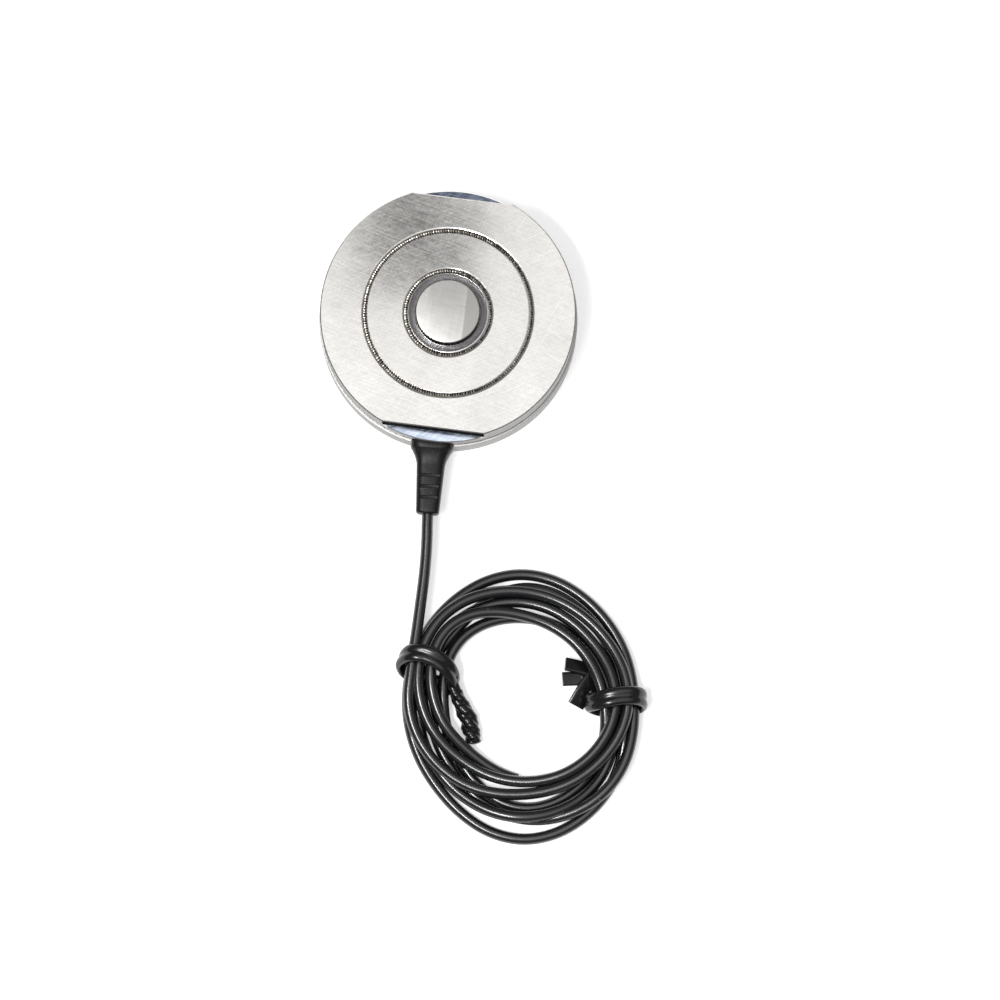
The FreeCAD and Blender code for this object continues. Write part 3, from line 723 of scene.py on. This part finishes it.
def housing_angles():
    """Angles round the housing with corners exactly at the ends of its two flats."""
    corner = math.asin(FLAT_Y / UPPER_RING_RADIUS)
    stops = [-corner, corner, math.pi - corner, math.pi + corner, 2 * math.pi - corner]
    angles = []
    for start, stop, count in zip(stops, stops[1:], [WALL_SEGMENTS, FLAT_SEGMENTS] * 2):
        angles += [start + (stop - start) * i / count for i in range(count)]
    return angles


def ledge_rim(angle):
    """Point of the ledges' outer edge, bevelled where the flats leave a ledge."""
    over = max(0, UPPER_RING_RADIUS * abs(math.sin(angle)) - FLAT_Y)
    radius = UPPER_RING_RADIUS - min(LEDGE_BEVEL, LEDGE_BEVEL_SLOPE * over)
    return (radius * math.cos(angle), radius * math.sin(angle), LEDGE_HEIGHT)


def on_wall(centre, normal):
    """Whether a face is on the upper ring's wall."""
    out = centre.xy.length - UPPER_RING_RADIUS
    low = LOWER_RING_HEIGHT - HEIGHT_SLACK
    return -RADIUS_SLACK < out < STEP_SHADE_WIDTH and low < centre.z < BODY_HEIGHT - TOP_CHAMFER_DROP


def at_step(centre, normal):
    """Whether a face is in the corner between the upper ring's wall and the step at its foot, which is
    painted dark as shade.
    """
    out = centre.xy.length - UPPER_RING_RADIUS
    return -RADIUS_SLACK < out < STEP_SHADE_WIDTH and abs(centre.z - LOWER_RING_HEIGHT) < WALL_FOOT_EASE


def on_skirt(centre, normal):
    """Whether a face is on the lower ring's wall or the outer part of the step."""
    return centre.xy.length > UPPER_RING_RADIUS + STEP_SHADE_WIDTH


def on_flat(centre, normal):
    """Whether a face is the wall of a spanner flat, which is painted dark as shade."""
    upright = abs(normal.y) > FLAT_FACING and centre.z > LEDGE_HEIGHT
    return upright and abs(centre.y) > FLAT_Y - FLAT_SLACK


def on_ledge(centre, normal):
    """Whether a face is one of the ledges below the flats."""
    return normal.z > LEDGE_FACING and abs(centre.z - LEDGE_HEIGHT) < HEIGHT_SLACK


def on_upper_ledge(centre, normal):
    """Whether a face is the ledge on the side away from the cable, which is painted darker as shade."""
    return on_ledge(centre, normal) and centre.y > 0


def port_ring(radius, out, sides):
    """Circle of points about the cable port's axis, at a distance from the load axis."""
    return [(x, -out, PORT_HEIGHT + y) for x, y, _ in ring(radius, 0, even_angles(sides))]


def make_housing():
    """Turned body with rounded edges, two spanner flats and the stepped cable port."""
    angles = housing_angles()
    lower = eased([
        (BASE_RADIUS, BASE_SEAT, 0),
        (BASE_RADIUS, 0, BASE_EDGE_EASE),
        (LOWER_RING_RADIUS, 0, BOTTOM_EASE),
        (LOWER_RING_RADIUS, BOTTOM_EASE + EDGE_SUPPORT, 0),
        (LOWER_RING_RADIUS, LOWER_RING_HEIGHT - STEP_EASE - EDGE_SUPPORT, 0),
        (LOWER_RING_RADIUS, LOWER_RING_HEIGHT, STEP_EASE),
        (UPPER_RING_RADIUS + STEP_SHADE_WIDTH, LOWER_RING_HEIGHT, 0),
        (UPPER_RING_RADIUS, LOWER_RING_HEIGHT, WALL_FOOT_EASE),
        (UPPER_RING_RADIUS, LOWER_RING_HEIGHT + WALL_FOOT_EASE + EDGE_SUPPORT, 0),
        (UPPER_RING_RADIUS, LEDGE_HEIGHT - LEDGE_BEVEL, 0),
    ])
    upper = eased([
        (UPPER_RING_RADIUS, LEDGE_HEIGHT, 0),
        (UPPER_RING_RADIUS, BODY_HEIGHT - TOP_CHAMFER_DROP, 0),
        (UPPER_RING_RADIUS - TOP_CHAMFER_WIDTH, BODY_HEIGHT, 0),
        (COVER_SEAM_RADIUS + SEAM_HALF_WIDTH + SEAM_EDGE_SUPPORT, BODY_HEIGHT, 0),
        (COVER_SEAM_RADIUS + SEAM_HALF_WIDTH, BODY_HEIGHT, SEAM_EDGE_EASE),
        (COVER_SEAM_RADIUS, BODY_HEIGHT - SEAM_DEPTH, 0),
        (COVER_SEAM_RADIUS, SENSOR_SEAT_HEIGHT, 0),
        (CAVITY_RADIUS, SENSOR_SEAT_HEIGHT, 0),
        (CAVITY_RADIUS, BASE_SEAT, 0),
    ])
    loops = [ring(r, z, angles) for r, z in lower]
    loops.append([ledge_rim(angle) for angle in angles])
    for r, z in upper:
        loops.append(ring(r, z, angles, FLAT_Y - min(UPPER_RING_RADIUS - r, TOP_CHAMFER_WIDTH)))
    body = add_mesh("body_shell", loops, closed=True)
    port = [
        (PORT_RADIUS, CAVITY_RADIUS / 2),
        (PORT_RADIUS, LOWER_RING_RADIUS - COUNTERBORE_DEPTH),
        (COUNTERBORE_RADIUS, LOWER_RING_RADIUS - COUNTERBORE_DEPTH),
        (COUNTERBORE_RADIUS, 2 * LOWER_RING_RADIUS),
    ]
    carve(body, add_mesh("port_cutter", [port_ring(radius, out, PORT_SIDES) for radius, out in port]))
    finish_piece(body, steel, "stainless", "housing")
    paint(body, wall_steel, on_wall)
    # Painted shade in the corner at the foot of the upper ring's wall
    paint(body, crevice_shade_steel, at_step)
    paint(body, skirt_steel, on_skirt)
    # The flats' walls take painted shade
    paint(body, flat_shade_steel, on_flat)
    paint(body, ledge_steel, on_ledge)
    paint(body, shaded_upper_ledge_steel, on_upper_ledge)


def below_crown(centre):
    """Whether a place is between the dish's floor and the edge of the button's crown."""
    return BODY_HEIGHT - DISH_DEPTH - HEIGHT_SLACK < centre.z < BUTTON_TOP - CROWN_SAG - LIP_SLACK


def on_crown(centre, normal):
    """Whether a face is on the button's crown or its rounded edge."""
    return centre.z > BUTTON_TOP - CROWN_SAG - CROWN_SLACK


def in_dish(centre, normal):
    """Whether a face is in the dish round the button or on the button's wall."""
    inside = BUTTON_RADIUS - BUTTON_EDGE_EASE < centre.xy.length < DISH_LIP_RADIUS - LIP_SLACK
    return inside and below_crown(centre)


def at_foot(centre, normal):
    """Whether a face is on the button's wall or in the corner at its foot, which are painted dark as shade.
    """
    near = BUTTON_RADIUS - BUTTON_EDGE_EASE < centre.xy.length < BUTTON_RADIUS + FOOT_SHADE_WIDTH
    return near and below_crown(centre)


def make_button():
    """Crowned button with its rounded edge, dish and collar."""
    rim = BUTTON_RADIUS - BUTTON_EDGE_WIDTH
    crown = []
    for k in range(CROWN_STEPS + 1):
        crown.append((rim * k / CROWN_STEPS, BUTTON_TOP - CROWN_SAG * (k / CROWN_STEPS) ** 2, 0))
    foot = BODY_HEIGHT - DISH_DEPTH
    profile = eased(crown + [
        (BUTTON_RADIUS, BUTTON_TOP - CROWN_SAG - BUTTON_EDGE_DROP, BUTTON_EDGE_EASE),
        (BUTTON_RADIUS, foot, FOOT_EASE),
        (BUTTON_RADIUS + DISH_FLOOR_WIDTH, foot, DISH_EASE),
        (DISH_LIP_RADIUS, BODY_HEIGHT, DISH_LIP_EASE),
        (BUTTON_SEAM_RADIUS - SEAM_HALF_WIDTH, BODY_HEIGHT, COLLAR_EDGE_EASE),
        (BUTTON_SEAM_RADIUS, BODY_HEIGHT - SEAM_DEPTH, 0),
        (BUTTON_SEAM_RADIUS, BOSS_TOP, 0),
        (SPIGOT_RADIUS, BOSS_TOP, 0),
        (SPIGOT_RADIUS, SPIGOT_FOOT, 0),
        (0, SPIGOT_FOOT, 0),
    ])
    angles = even_angles(BUTTON_SIDES)
    button = add_mesh("button", [ring(r, z, angles) for r, z in profile])
    finish_piece(button, steel, "stainless", "load_button")
    paint(button, button_steel, on_crown)
    paint(button, dish_steel, in_dish)
    # Painted shade on the button's wall and in the corner at its foot
    paint(button, crevice_shade_steel, at_foot)


# Weld beads

def bead_height(s):
    """Height of a bead's section over the face, at a share of the seam's half width."""
    side = abs(s)
    if side > BEAD_SHARE:
        return UNDERCUT_DEPTH * ((side - BEAD_SHARE) / (1 - BEAD_SHARE) - 1) + BEAD_LIFT
    crown = (BEAD_CROWN + UNDERCUT_DEPTH) * (1 - (side / BEAD_SHARE) ** BEAD_POWER)
    return crown - UNDERCUT_DEPTH + BEAD_LIFT


def toward_shaded_side(turn):
    """How far a direction round the load axis points to the side that gets the painted shade on the beads.
    """
    return math.cos(turn - math.radians(SHADED_SIDE_DEG))


def paint_bead(bead, radius, ripples, dice):
    """Bright outer lip of a bead, its dark marks of oxide and painted shade, and a dull inner slope painted
    lighter toward the side where the marks lean.
    """
    marks = []
    for which in range(ripples):
        marks.append(dice.uniform(*MARK_SHARES) + MARK_SHADE_LEAN * toward_shaded_side(2 * math.pi * which / ripples))

    def across(centre):
        """Direction of a place, its share of the half width, and the share where marks start there."""
        turn = math.atan2(centre.y, centre.x)
        s = (centre.xy.length - radius) / SEAM_HALF_WIDTH
        return turn, s, SHADED_SIDE_NARROWING * max(0, toward_shaded_side(turn)) - 1

    def on_lip(centre, normal):
        return across(centre)[1] > LIP_SHARE

    def on_inner_side(centre, normal):
        _, s, start = across(centre)
        return s < start

    def on_mark(centre, normal):
        turn, s, start = across(centre)
        place = turn / (2 * math.pi) * ripples + RIPPLE_SWEEP * s * s
        return start <= s <= LIP_SHARE and place % 1 < marks[int(place) % ripples]

    paint(bead, steel, on_lip)
    # Painted light: lighter dull steel on the inner slope, widening toward the side where the marks crowd
    # as painted shade
    paint(bead, dish_steel, on_inner_side)
    paint(bead, oxide_and_shade_steel, on_mark)


def make_bead(name, radius, seed, node):
    """Weld bead of overlapping ripples between two thin undercuts."""
    dice = random.Random(seed)
    ripples = round(2 * math.pi * radius / RIPPLE_PITCH)
    heights = [RIPPLE_HEIGHT * dice.uniform(*RIPPLE_HEIGHT_SHARES) for _ in range(ripples)]
    shifts = [dice.uniform(-RIPPLE_SHIFT, RIPPLE_SHIFT) for _ in range(ripples)]
    loops = []
    for index in range(ripples * RIPPLE_SEGMENTS):
        phase = index / RIPPLE_SEGMENTS
        angle = 2 * math.pi * phase / ripples
        outwards = Vector((math.cos(angle), math.sin(angle), 0))
        loop = []
        for k in range(BEAD_SPANS + 1):
            s = 2 * k / BEAD_SPANS - 1
            place = phase + RIPPLE_SWEEP * s * s
            which = int(place) % ripples
            scallop = heights[which] * (1 - (place % 1)) * max(0, 1 - (s / BEAD_SHARE) ** 2)
            out = radius + shifts[which] * (1 - abs(s)) + s * SEAM_HALF_WIDTH
            loop.append(outwards * out + AXIS_Z * (BODY_HEIGHT + bead_height(s) + scallop))
        loop.append(outwards * radius + AXIS_Z * (BODY_HEIGHT - SEAM_DEPTH))
        loops.append(loop)
    bead = finish_piece(add_mesh(name, loops, closed=True), weld_steel, "weld_steel", node)
    paint_bead(bead, radius, ripples, dice)


# Strain relief

def boot_section(width, height, out):
    """Rounded rectangle of the boot at a distance from the wall."""
    loop = []
    for angle in even_angles(BOOT_SIDES):
        x = squared_off(math.cos(angle), BOOT_CORNER_POWER) * width / 2
        z = squared_off(math.sin(angle), BOOT_CORNER_POWER) * height / 2
        loop.append(Vector((x, -LOWER_RING_RADIUS - out, PORT_HEIGHT + z)))
    return loop


def between(pair_a, pair_b, share):
    """Pair of sizes between two pairs."""
    return [a + (b - a) * share for a, b in zip(pair_a, pair_b)]


def box_loops(size, centre):
    """Two loops of a box, below and above."""
    x, y, z = (s / 2 for s in size)
    corners = [(-x, -y), (x, -y), (x, y), (-x, y)]
    return [[(centre[0] + a, centre[1] + b, centre[2] + c) for a, b in corners] for c in (-z, z)]


def boot_loops():
    """Sections of the boot from its root inside the wall over flare and taper to the rounded end."""
    loops = [boot_section(*BOOT_FLANGE, -BOOT_SINK)]
    for k in range(BOOT_FLARE_STEPS + 1):
        t = k / BOOT_FLARE_STEPS
        size = between(BOOT_FLANGE, BOOT_NECK, 1 - (1 - t) ** BOOT_FLARE_POWER)
        loops.append(boot_section(*size, BOOT_RIM_LENGTH + (BOOT_FLARE_LENGTH - BOOT_RIM_LENGTH) * t))
    taper = BOOT_LENGTH - BOOT_END_ROUNDING - BOOT_FLARE_LENGTH
    for k in range(1, BOOT_TAPER_STEPS + 1):
        t = k / BOOT_TAPER_STEPS
        loops.append(boot_section(*between(BOOT_NECK, BOOT_END, t), BOOT_FLARE_LENGTH + taper * t))
    for k in range(1, BOOT_END_STEPS + 1):
        turn = math.radians(90 * k / BOOT_END_STEPS)
        size = [full - 2 * BOOT_END_ROUNDING * (1 - math.cos(turn)) for full in BOOT_END]
        loops.append(boot_section(*size, BOOT_LENGTH - BOOT_END_ROUNDING * (1 - math.sin(turn))))
    return loops


def cut_slots(boot):
    """Cuts the slots between the rails into the boot's upper and lower side."""
    end_y = -LOWER_RING_RADIUS - BOOT_LENGTH
    tall = BOOT_NECK[1]
    for index in range(SLOT_COUNT):
        slot_y = end_y + LAST_SLOT_FROM_END + index * SLOT_PITCH
        share = (slot_y - end_y) / (BOOT_LENGTH - BOOT_FLARE_LENGTH)
        width, height = between(BOOT_END, BOOT_NECK, share)
        reach = height / 2 - SLOT_DEPTH + tall / 2
        size = (width - 2 * SLOT_RAIL, SLOT_WIDTH, tall)
        for side in (-1, 1):
            slot = box_loops(size, (0, slot_y, PORT_HEIGHT + side * reach))
            carve(boot, add_mesh("slot_cutter", slot))


def make_boot():
    """Moulded boot: flared flange, tapering body with slots between rails, and a plug in the port."""
    boot = add_mesh("boot", boot_loops())
    cut_slots(boot)
    pivot = Vector((0, BOOT_ROOT_Y, PORT_HEIGHT)) * MM
    lean = Matrix.Rotation(math.radians(BOOT_LEAN_DEG), 4, "Z")
    boot.data.transform(Matrix.Translation(pivot) @ lean @ Matrix.Translation(-pivot))
    wall = [
        (0, 0),
        (LOWER_RING_RADIUS, 0),
        (LOWER_RING_RADIUS, LOWER_RING_HEIGHT),
        (UPPER_RING_RADIUS, LOWER_RING_HEIGHT),
        (UPPER_RING_RADIUS, LEDGE_HEIGHT),
        (0, LEDGE_HEIGHT),
    ]
    carve(boot, add_mesh("wall_cutter", [ring(r, z, housing_angles()) for r, z in wall]))
    soft = boot.modifiers.new("soft", "BEVEL")
    soft.width = BOOT_EDGE_BEVEL * MM
    soft.segments = BOOT_BEVEL_STEPS
    soft.limit_method = "ANGLE"
    soft.angle_limit = math.radians(BOOT_BEVEL_DEG)
    bake_modifiers(boot)
    plug_ends = (LOWER_RING_RADIUS - COUNTERBORE_DEPTH, LOWER_RING_RADIUS)
    plug = [port_ring(BOOT_PLUG_RADIUS, out, BOOT_PLUG_SIDES) for out in plug_ends]
    carve(boot, add_mesh("plug", plug), "UNION")
    return finish_piece(boot, boot_rubber, "boot_rubber", "strain_relief")


# Cable

def coil_state(position):
    """Radius and height of the coil's centre line at a position counted in stations."""
    flat = [Vector((r, z, 0)) for turn in zip(COIL_RADII, COIL_HEIGHTS) for r, z in zip(*turn)]
    last = len(flat) - 1
    i = min(int(position), last - 1)
    a, b, c, d = (flat[max(0, min(last, k))] for k in range(i - 1, i + 3))
    state = curve_between(a, b, c, d, position - i)
    return state.x, max(state.y, CABLE_RADIUS)


def cable_points():
    """Control points of the cable: the lead, then the coil's turns."""
    points = [Vector(p) for p in LEAD_POINTS]
    step = 2 * math.pi / STATIONS / POINTS_PER_STATION
    # Share of the control points' radius that a quadratic spline keeps in the middle of a span
    pull = 0.75 + 0.25 * math.cos(step)
    last = (sum(len(turn) for turn in COIL_RADII) - 1) * POINTS_PER_STATION
    for k in range(last + 1):
        radius, height = coil_state(k / POINTS_PER_STATION)
        angle = math.radians(COIL_FIRST_DEG) + k * step
        if k == last:
            angle -= math.radians(COIL_END_TRIM_DEG)
        x = COIL_X + radius / pull * math.cos(angle)
        y = COIL_Y + radius / pull * math.sin(angle)
        points.append(Vector((x, y, height)))
    return points


def make_cable():
    """The cable as one smooth round cord from inside the port to its cut end."""
    curve = bpy.data.curves.new("cable", "CURVE")
    curve.dimensions = "3D"
    curve.bevel_depth = CABLE_RADIUS * MM
    curve.bevel_resolution = CABLE_BEVEL_STEPS
    curve.resolution_u = CABLE_SPAN_STEPS
    curve.use_fill_caps = True
    points = cable_points()
    line = curve.splines.new("NURBS")
    line.points.add(len(points) - 1)
    for place, point in zip(line.points, points):
        place.co = (*(point * MM), 1)
    line.order_u = 3
    line.use_endpoint_u = True
    cable = bpy.data.objects.new("cable", curve)
    scene.collection.objects.link(cable)
    return finish_piece(cable, cable_jacket, "cable_jacket", "cable_lead", "cable_coil")


# Ties

def ribbon_outline(width):
    """Section of the ribbon: flat inside, and two round ridges with a groove between them outside."""
    outer = []
    inner = []
    for k in range(RIBBON_STEPS + 1):
        a = math.cos(math.pi * k / RIBBON_STEPS)
        groove = RIBBON_GROOVE * math.exp(-(a / RIBBON_GROOVE_SHARE) ** 2)
        rise = RIBBON_OUTER * math.sqrt(max(0, 1 - a**RIBBON_OUTER_POWER))
        outer.append((a * width / 2, rise - groove))
        inner.append((a * width / 2, -RIBBON_INNER * math.sqrt(max(0, 1 - a**RIBBON_INNER_POWER))))
    return outer + list(reversed(inner[1:-1]))


def blade_outline(width):
    """Section of a clipped end: a flat strip with rounded edges."""
    outline = []
    for angle in even_angles(CLIPPED_SIDES):
        x = squared_off(math.cos(angle), CLIPPED_WIDTH_POWER) * width / 2
        y = squared_off(math.sin(angle), CLIPPED_THICKNESS_POWER) * CLIPPED_THICKNESS / 2
        outline.append((x, y))
    return outline


def rope_outline():
    """Section of the twisted ribbons: round lobes that meet in sharp grooves, one unit in radius."""
    outline = []
    for angle in even_angles(TAIL_LOBE_SIDES * TAIL_LOBES):
        r = 1 - TAIL_LOBE_DEPTH * (1 - abs(math.cos(TAIL_LOBES * angle / 2)))
        outline.append((r * math.cos(angle), r * math.sin(angle)))
    return outline


def sweep(line, side, outline):
    """Loops of a section along a line, with its width as near as it can be to a side vector."""
    loops = []
    for place, direction in zip(line, tangents(line)):
        wide = (side - direction * side.dot(direction)).normalized()
        tall = direction.cross(wide)
        loops.append([place + wide * a + tall * b for a, b in outline])
    return loops


def band_loops(points):
    """Loops of a ribbon that lies flat round the coil's strands and on the floor."""
    line = spline(points, BAND_SAMPLES, closed=True)
    middle = sum(line, Vector()) / len(line)
    strands = strand_direction(points)
    outline = ribbon_outline(RIBBON_WIDTH)
    loops = []
    for place, direction in zip(line, tangents(line, closed=True)):
        outwards = place - middle
        outwards -= strands * outwards.dot(strands)
        outwards = (outwards - direction * outwards.dot(direction)).normalized()
        wide = outwards.cross(direction)
        loop = [place + wide * a + outwards * b for a, b in outline]
        loops.append([Vector((p.x, p.y, max(p.z, FLOOR_CLEARANCE))) for p in loop])
    return loops


def strand_direction(points):
    """Direction of the coil's strands where a band is."""
    middle = sum((Vector(p) for p in points), Vector()) / len(points)
    return AXIS_Z.cross(middle - Vector((COIL_X, COIL_Y, middle.z))).normalized()


def rope_loops(points):
    """Loops of a twisted tail along points that each hold a place and a radius, with a round end."""
    line = spline(points, TAIL_SAMPLES)
    last = TAIL_SAMPLES - 1
    quick, slow = TAIL_SWELL_RATES
    places = [p.to_3d() for p in line]
    outline = rope_outline()
    loops = []
    for k, (place, direction) in enumerate(zip(places, tangents(places))):
        angle = 2 * math.pi * TAIL_TURNS * k / last
        across = AXIS_Z.cross(direction).normalized()
        up = direction.cross(across)
        wide = across * math.cos(angle) + up * math.sin(angle)
        tall = direction.cross(wide)
        swell = TAIL_SWELL * math.sin(quick * k) * math.sin(slow * k + TAIL_SWELL_PHASE)
        radius = line[k].w * (1 + swell)
        left = (last - k) / TAIL_END_SAMPLES
        if left < 1:
            radius *= max(TAIL_TIP_SHARE, math.sqrt(1 - (1 - left) ** 2))
        loops.append([place + (wide * a + tall * b) * radius for a, b in outline])
    return loops


def join(obj, other):
    """Adds another object's mesh to an object as a loose part."""
    work = bmesh.new()
    work.from_mesh(obj.data)
    work.from_mesh(other.data)
    work.to_mesh(obj.data)
    work.free()
    smooth(obj.data)
    bpy.data.objects.remove(other)


def make_left_tie():
    """Ribbon band with its long twisted tail."""
    tie = add_mesh("ribbon_left", band_loops(LEFT_BAND), closed=True)
    join(tie, add_mesh("tail", rope_loops(LEFT_TAIL)))
    return finish_piece(tie, tie_ribbon, "tie_ribbon", "tie_left")


def make_right_tie():
    """Ribbon band whose ends are clipped off short behind it."""
    tie = add_mesh("ribbon_right", band_loops(RIGHT_BAND), closed=True)
    for width, lean_deg, points in CLIPPED_ENDS:
        line = spline(points, CLIPPED_SAMPLES)
        along = (line[-1] - line[0]).normalized()
        side = Matrix.Rotation(math.radians(lean_deg), 3, along) @ AXIS_Z.cross(along)
        join(tie, add_mesh("clipped_end", sweep(line, side, blade_outline(width))))
    return finish_piece(tie, tie_ribbon, "tie_ribbon", "tie_right")


make_housing()
make_button()
make_bead("outer_bead", COVER_SEAM_RADIUS, COVER_BEAD_SEED, "cover_weld")
make_bead("inner_bead", BUTTON_SEAM_RADIUS, BUTTON_BEAD_SEED, "button_weld")
boot = make_boot()
cable = make_cable()
left_tie = make_left_tie()
right_tie = make_right_tie()

# Materials of the solids that show as they are: underside, cover and inside
board = plain_material("board_laminate", (0.01, 0.09, 0.035), (0.02, 0.16, 0.06), 3.0, (0.3, 0.45))
film = plain_material("spacer_film", (0.35, 0.2, 0.05), (0.5, 0.3, 0.08), 2.0, (0.3, 0.4))
package = plain_material("chip_package", (0.012, 0.012, 0.012), (0.03, 0.03, 0.03), 8.0, (0.45, 0.6))
resistor = plain_material("resistor_body", (0.02, 0.02, 0.025), (0.06, 0.06, 0.07), 8.0, (0.35, 0.5))
foil = plain_material("gauge_foil", (0.5, 0.28, 0.1), (0.7, 0.42, 0.18), 10.0, (0.25, 0.4), metallic=0.6)
wire = plain_material("fine_wire", (0.6, 0.32, 0.18), (0.8, 0.45, 0.28), 10.0, (0.2, 0.35), metallic=1.0)
brass = plain_material("ferrule_metal", (0.55, 0.5, 0.42), (0.75, 0.7, 0.6), 6.0, (0.25, 0.4), metallic=1.0)
red = plain_material("insulation_red", (0.35, 0.01, 0.01), (0.5, 0.03, 0.02), 6.0, (0.35, 0.5))
black = plain_material("insulation_black", (0.01, 0.01, 0.01), (0.025, 0.025, 0.025), 6.0, (0.35, 0.5))
green = plain_material("insulation_green", (0.01, 0.15, 0.03), (0.02, 0.25, 0.06), 6.0, (0.35, 0.5))
white = plain_material("insulation_white", (0.6, 0.6, 0.58), (0.8, 0.8, 0.78), 6.0, (0.35, 0.5))
NODE_MATERIALS = {
    "top_cover": steel,
    "base_cover": steel,
    "base_weld": weld_steel,
    "sensing_element": steel,
    "circuit_board": board,
    "board_spacer": film,
    "signal_chip": package,
    "chip_resistor": resistor,
    "strain_gauge": foil,
    "gauge_lead": wire,
    "cable_ferrule": brass,
    "conductor_red": red,
    "conductor_black": black,
    "conductor_green": green,
    "conductor_white": white,
}
for name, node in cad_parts.items():
    for start, material in NODE_MATERIALS.items():
        if name.startswith(start):
            node.data.materials.clear()
            node.data.materials.append(material)


# Floor, light and camera

def make_floor():
    """Pale floor that is white to the camera and to reflections and still takes the shadow."""
    size = (2 * FLOOR_HALF, 2 * FLOOR_HALF, FLOOR_THICKNESS)
    floor = add_mesh("floor", box_loops(size, (0, 0, FLOOR_TOP - FLOOR_THICKNESS / 2)))
    material = bpy.data.materials.new("floor")
    material.use_nodes = True
    tree = material.node_tree
    tree.nodes.remove(tree.nodes["Principled BSDF"])
    diffuse = tree.nodes.new("ShaderNodeBsdfDiffuse")
    diffuse.inputs["Color"].default_value = (FLOOR_TONE, FLOOR_TONE, FLOOR_TONE, 1)
    glow = tree.nodes.new("ShaderNodeEmission")
    path = tree.nodes.new("ShaderNodeLightPath")
    seen = maths(tree, "MAXIMUM", path.outputs["Is Camera Ray"], path.outputs["Is Glossy Ray"])
    seen = maths(tree, "MAXIMUM", seen, path.outputs["Is Transmission Ray"])
    tree.links.new(maths(tree, "MULTIPLY", seen, FLOOR_GLOW), glow.inputs["Strength"])
    both = tree.nodes.new("ShaderNodeAddShader")
    tree.links.new(diffuse.outputs["BSDF"], both.inputs[0])
    tree.links.new(glow.outputs["Emission"], both.inputs[1])
    tree.links.new(both.outputs["Shader"], tree.nodes["Material Output"].inputs["Surface"])
    floor.data.materials.append(material)


def make_strip():
    """Rectangular soft light high up at the coil's lower left, aimed at the coil."""
    lamp = bpy.data.lights.new("strip", "AREA")
    lamp.shape = "RECTANGLE"
    lamp.size = STRIP_SIZE[0] * MM
    lamp.size_y = STRIP_SIZE[1] * MM
    lamp.energy = STRIP_POWER
    strip = bpy.data.objects.new("strip", lamp)
    back = (STRIP_PLACE - STRIP_TARGET).normalized()
    first = (STRIP_ALONG - back * back.dot(STRIP_ALONG)).normalized()
    turn = Matrix((first, back.cross(first), back)).transposed().to_4x4()
    strip.matrix_world = Matrix.Translation(STRIP_PLACE * MM) @ turn
    strip.visible_camera = False
    scene.collection.objects.link(strip)


def make_camera():
    """Camera almost straight above, a little towards the cable's side."""
    roll = math.radians(CAMERA_ROLL_DEG)
    tilt = math.radians(CAMERA_TILT_DEG)
    right = Vector((math.cos(roll), math.sin(roll), 0))
    up_ground = Vector((-math.sin(roll), math.cos(roll), 0))
    back = AXIS_Z * math.cos(tilt) - up_ground * math.sin(tilt)
    up = back.cross(right)
    data = bpy.data.cameras.new("camera")
    data.lens = CAMERA_LENS
    data.sensor_width = CAMERA_SENSOR
    camera = bpy.data.objects.new("camera", data)
    turn = Matrix((right, up, back)).transposed().to_4x4()
    camera.matrix_world = Matrix.Translation((CAMERA_AIM + back * CAMERA_DISTANCE) * MM) @ turn
    scene.collection.objects.link(camera)
    scene.camera = camera


def make_world():
    """Soft dome: bright overhead, dim towards the horizon."""
    world = bpy.data.worlds.new("studio")
    scene.world = world
    world.use_nodes = True
    tree = world.node_tree
    height = coordinate(tree, "Generated", "Z")
    level = remap(tree, height, ZENITH_FROM, ZENITH_FULL, HORIZON_LIGHT, ZENITH_LIGHT)
    tree.links.new(level, tree.nodes["Background"].inputs["Strength"])
    tree.nodes["Background"].inputs["Color"].default_value = (1, 1, 1, 1)


def make_flag():
    """Grey card above the upper left, seen only in reflections."""
    flag = add_mesh("upper_flag", box_loops(FLAG_SIZE, FLAG_PLACE))
    card = plain_material("upper_flag", FLAG_DARK, FLAG_LIGHT, FLAG_GRAIN, FLAG_ROUGHNESS)
    flag.data.materials.append(card)
    flag.visible_camera = False
    flag.visible_diffuse = False
    flag.visible_shadow = False


make_world()
make_floor()
make_strip()
make_flag()
make_camera()
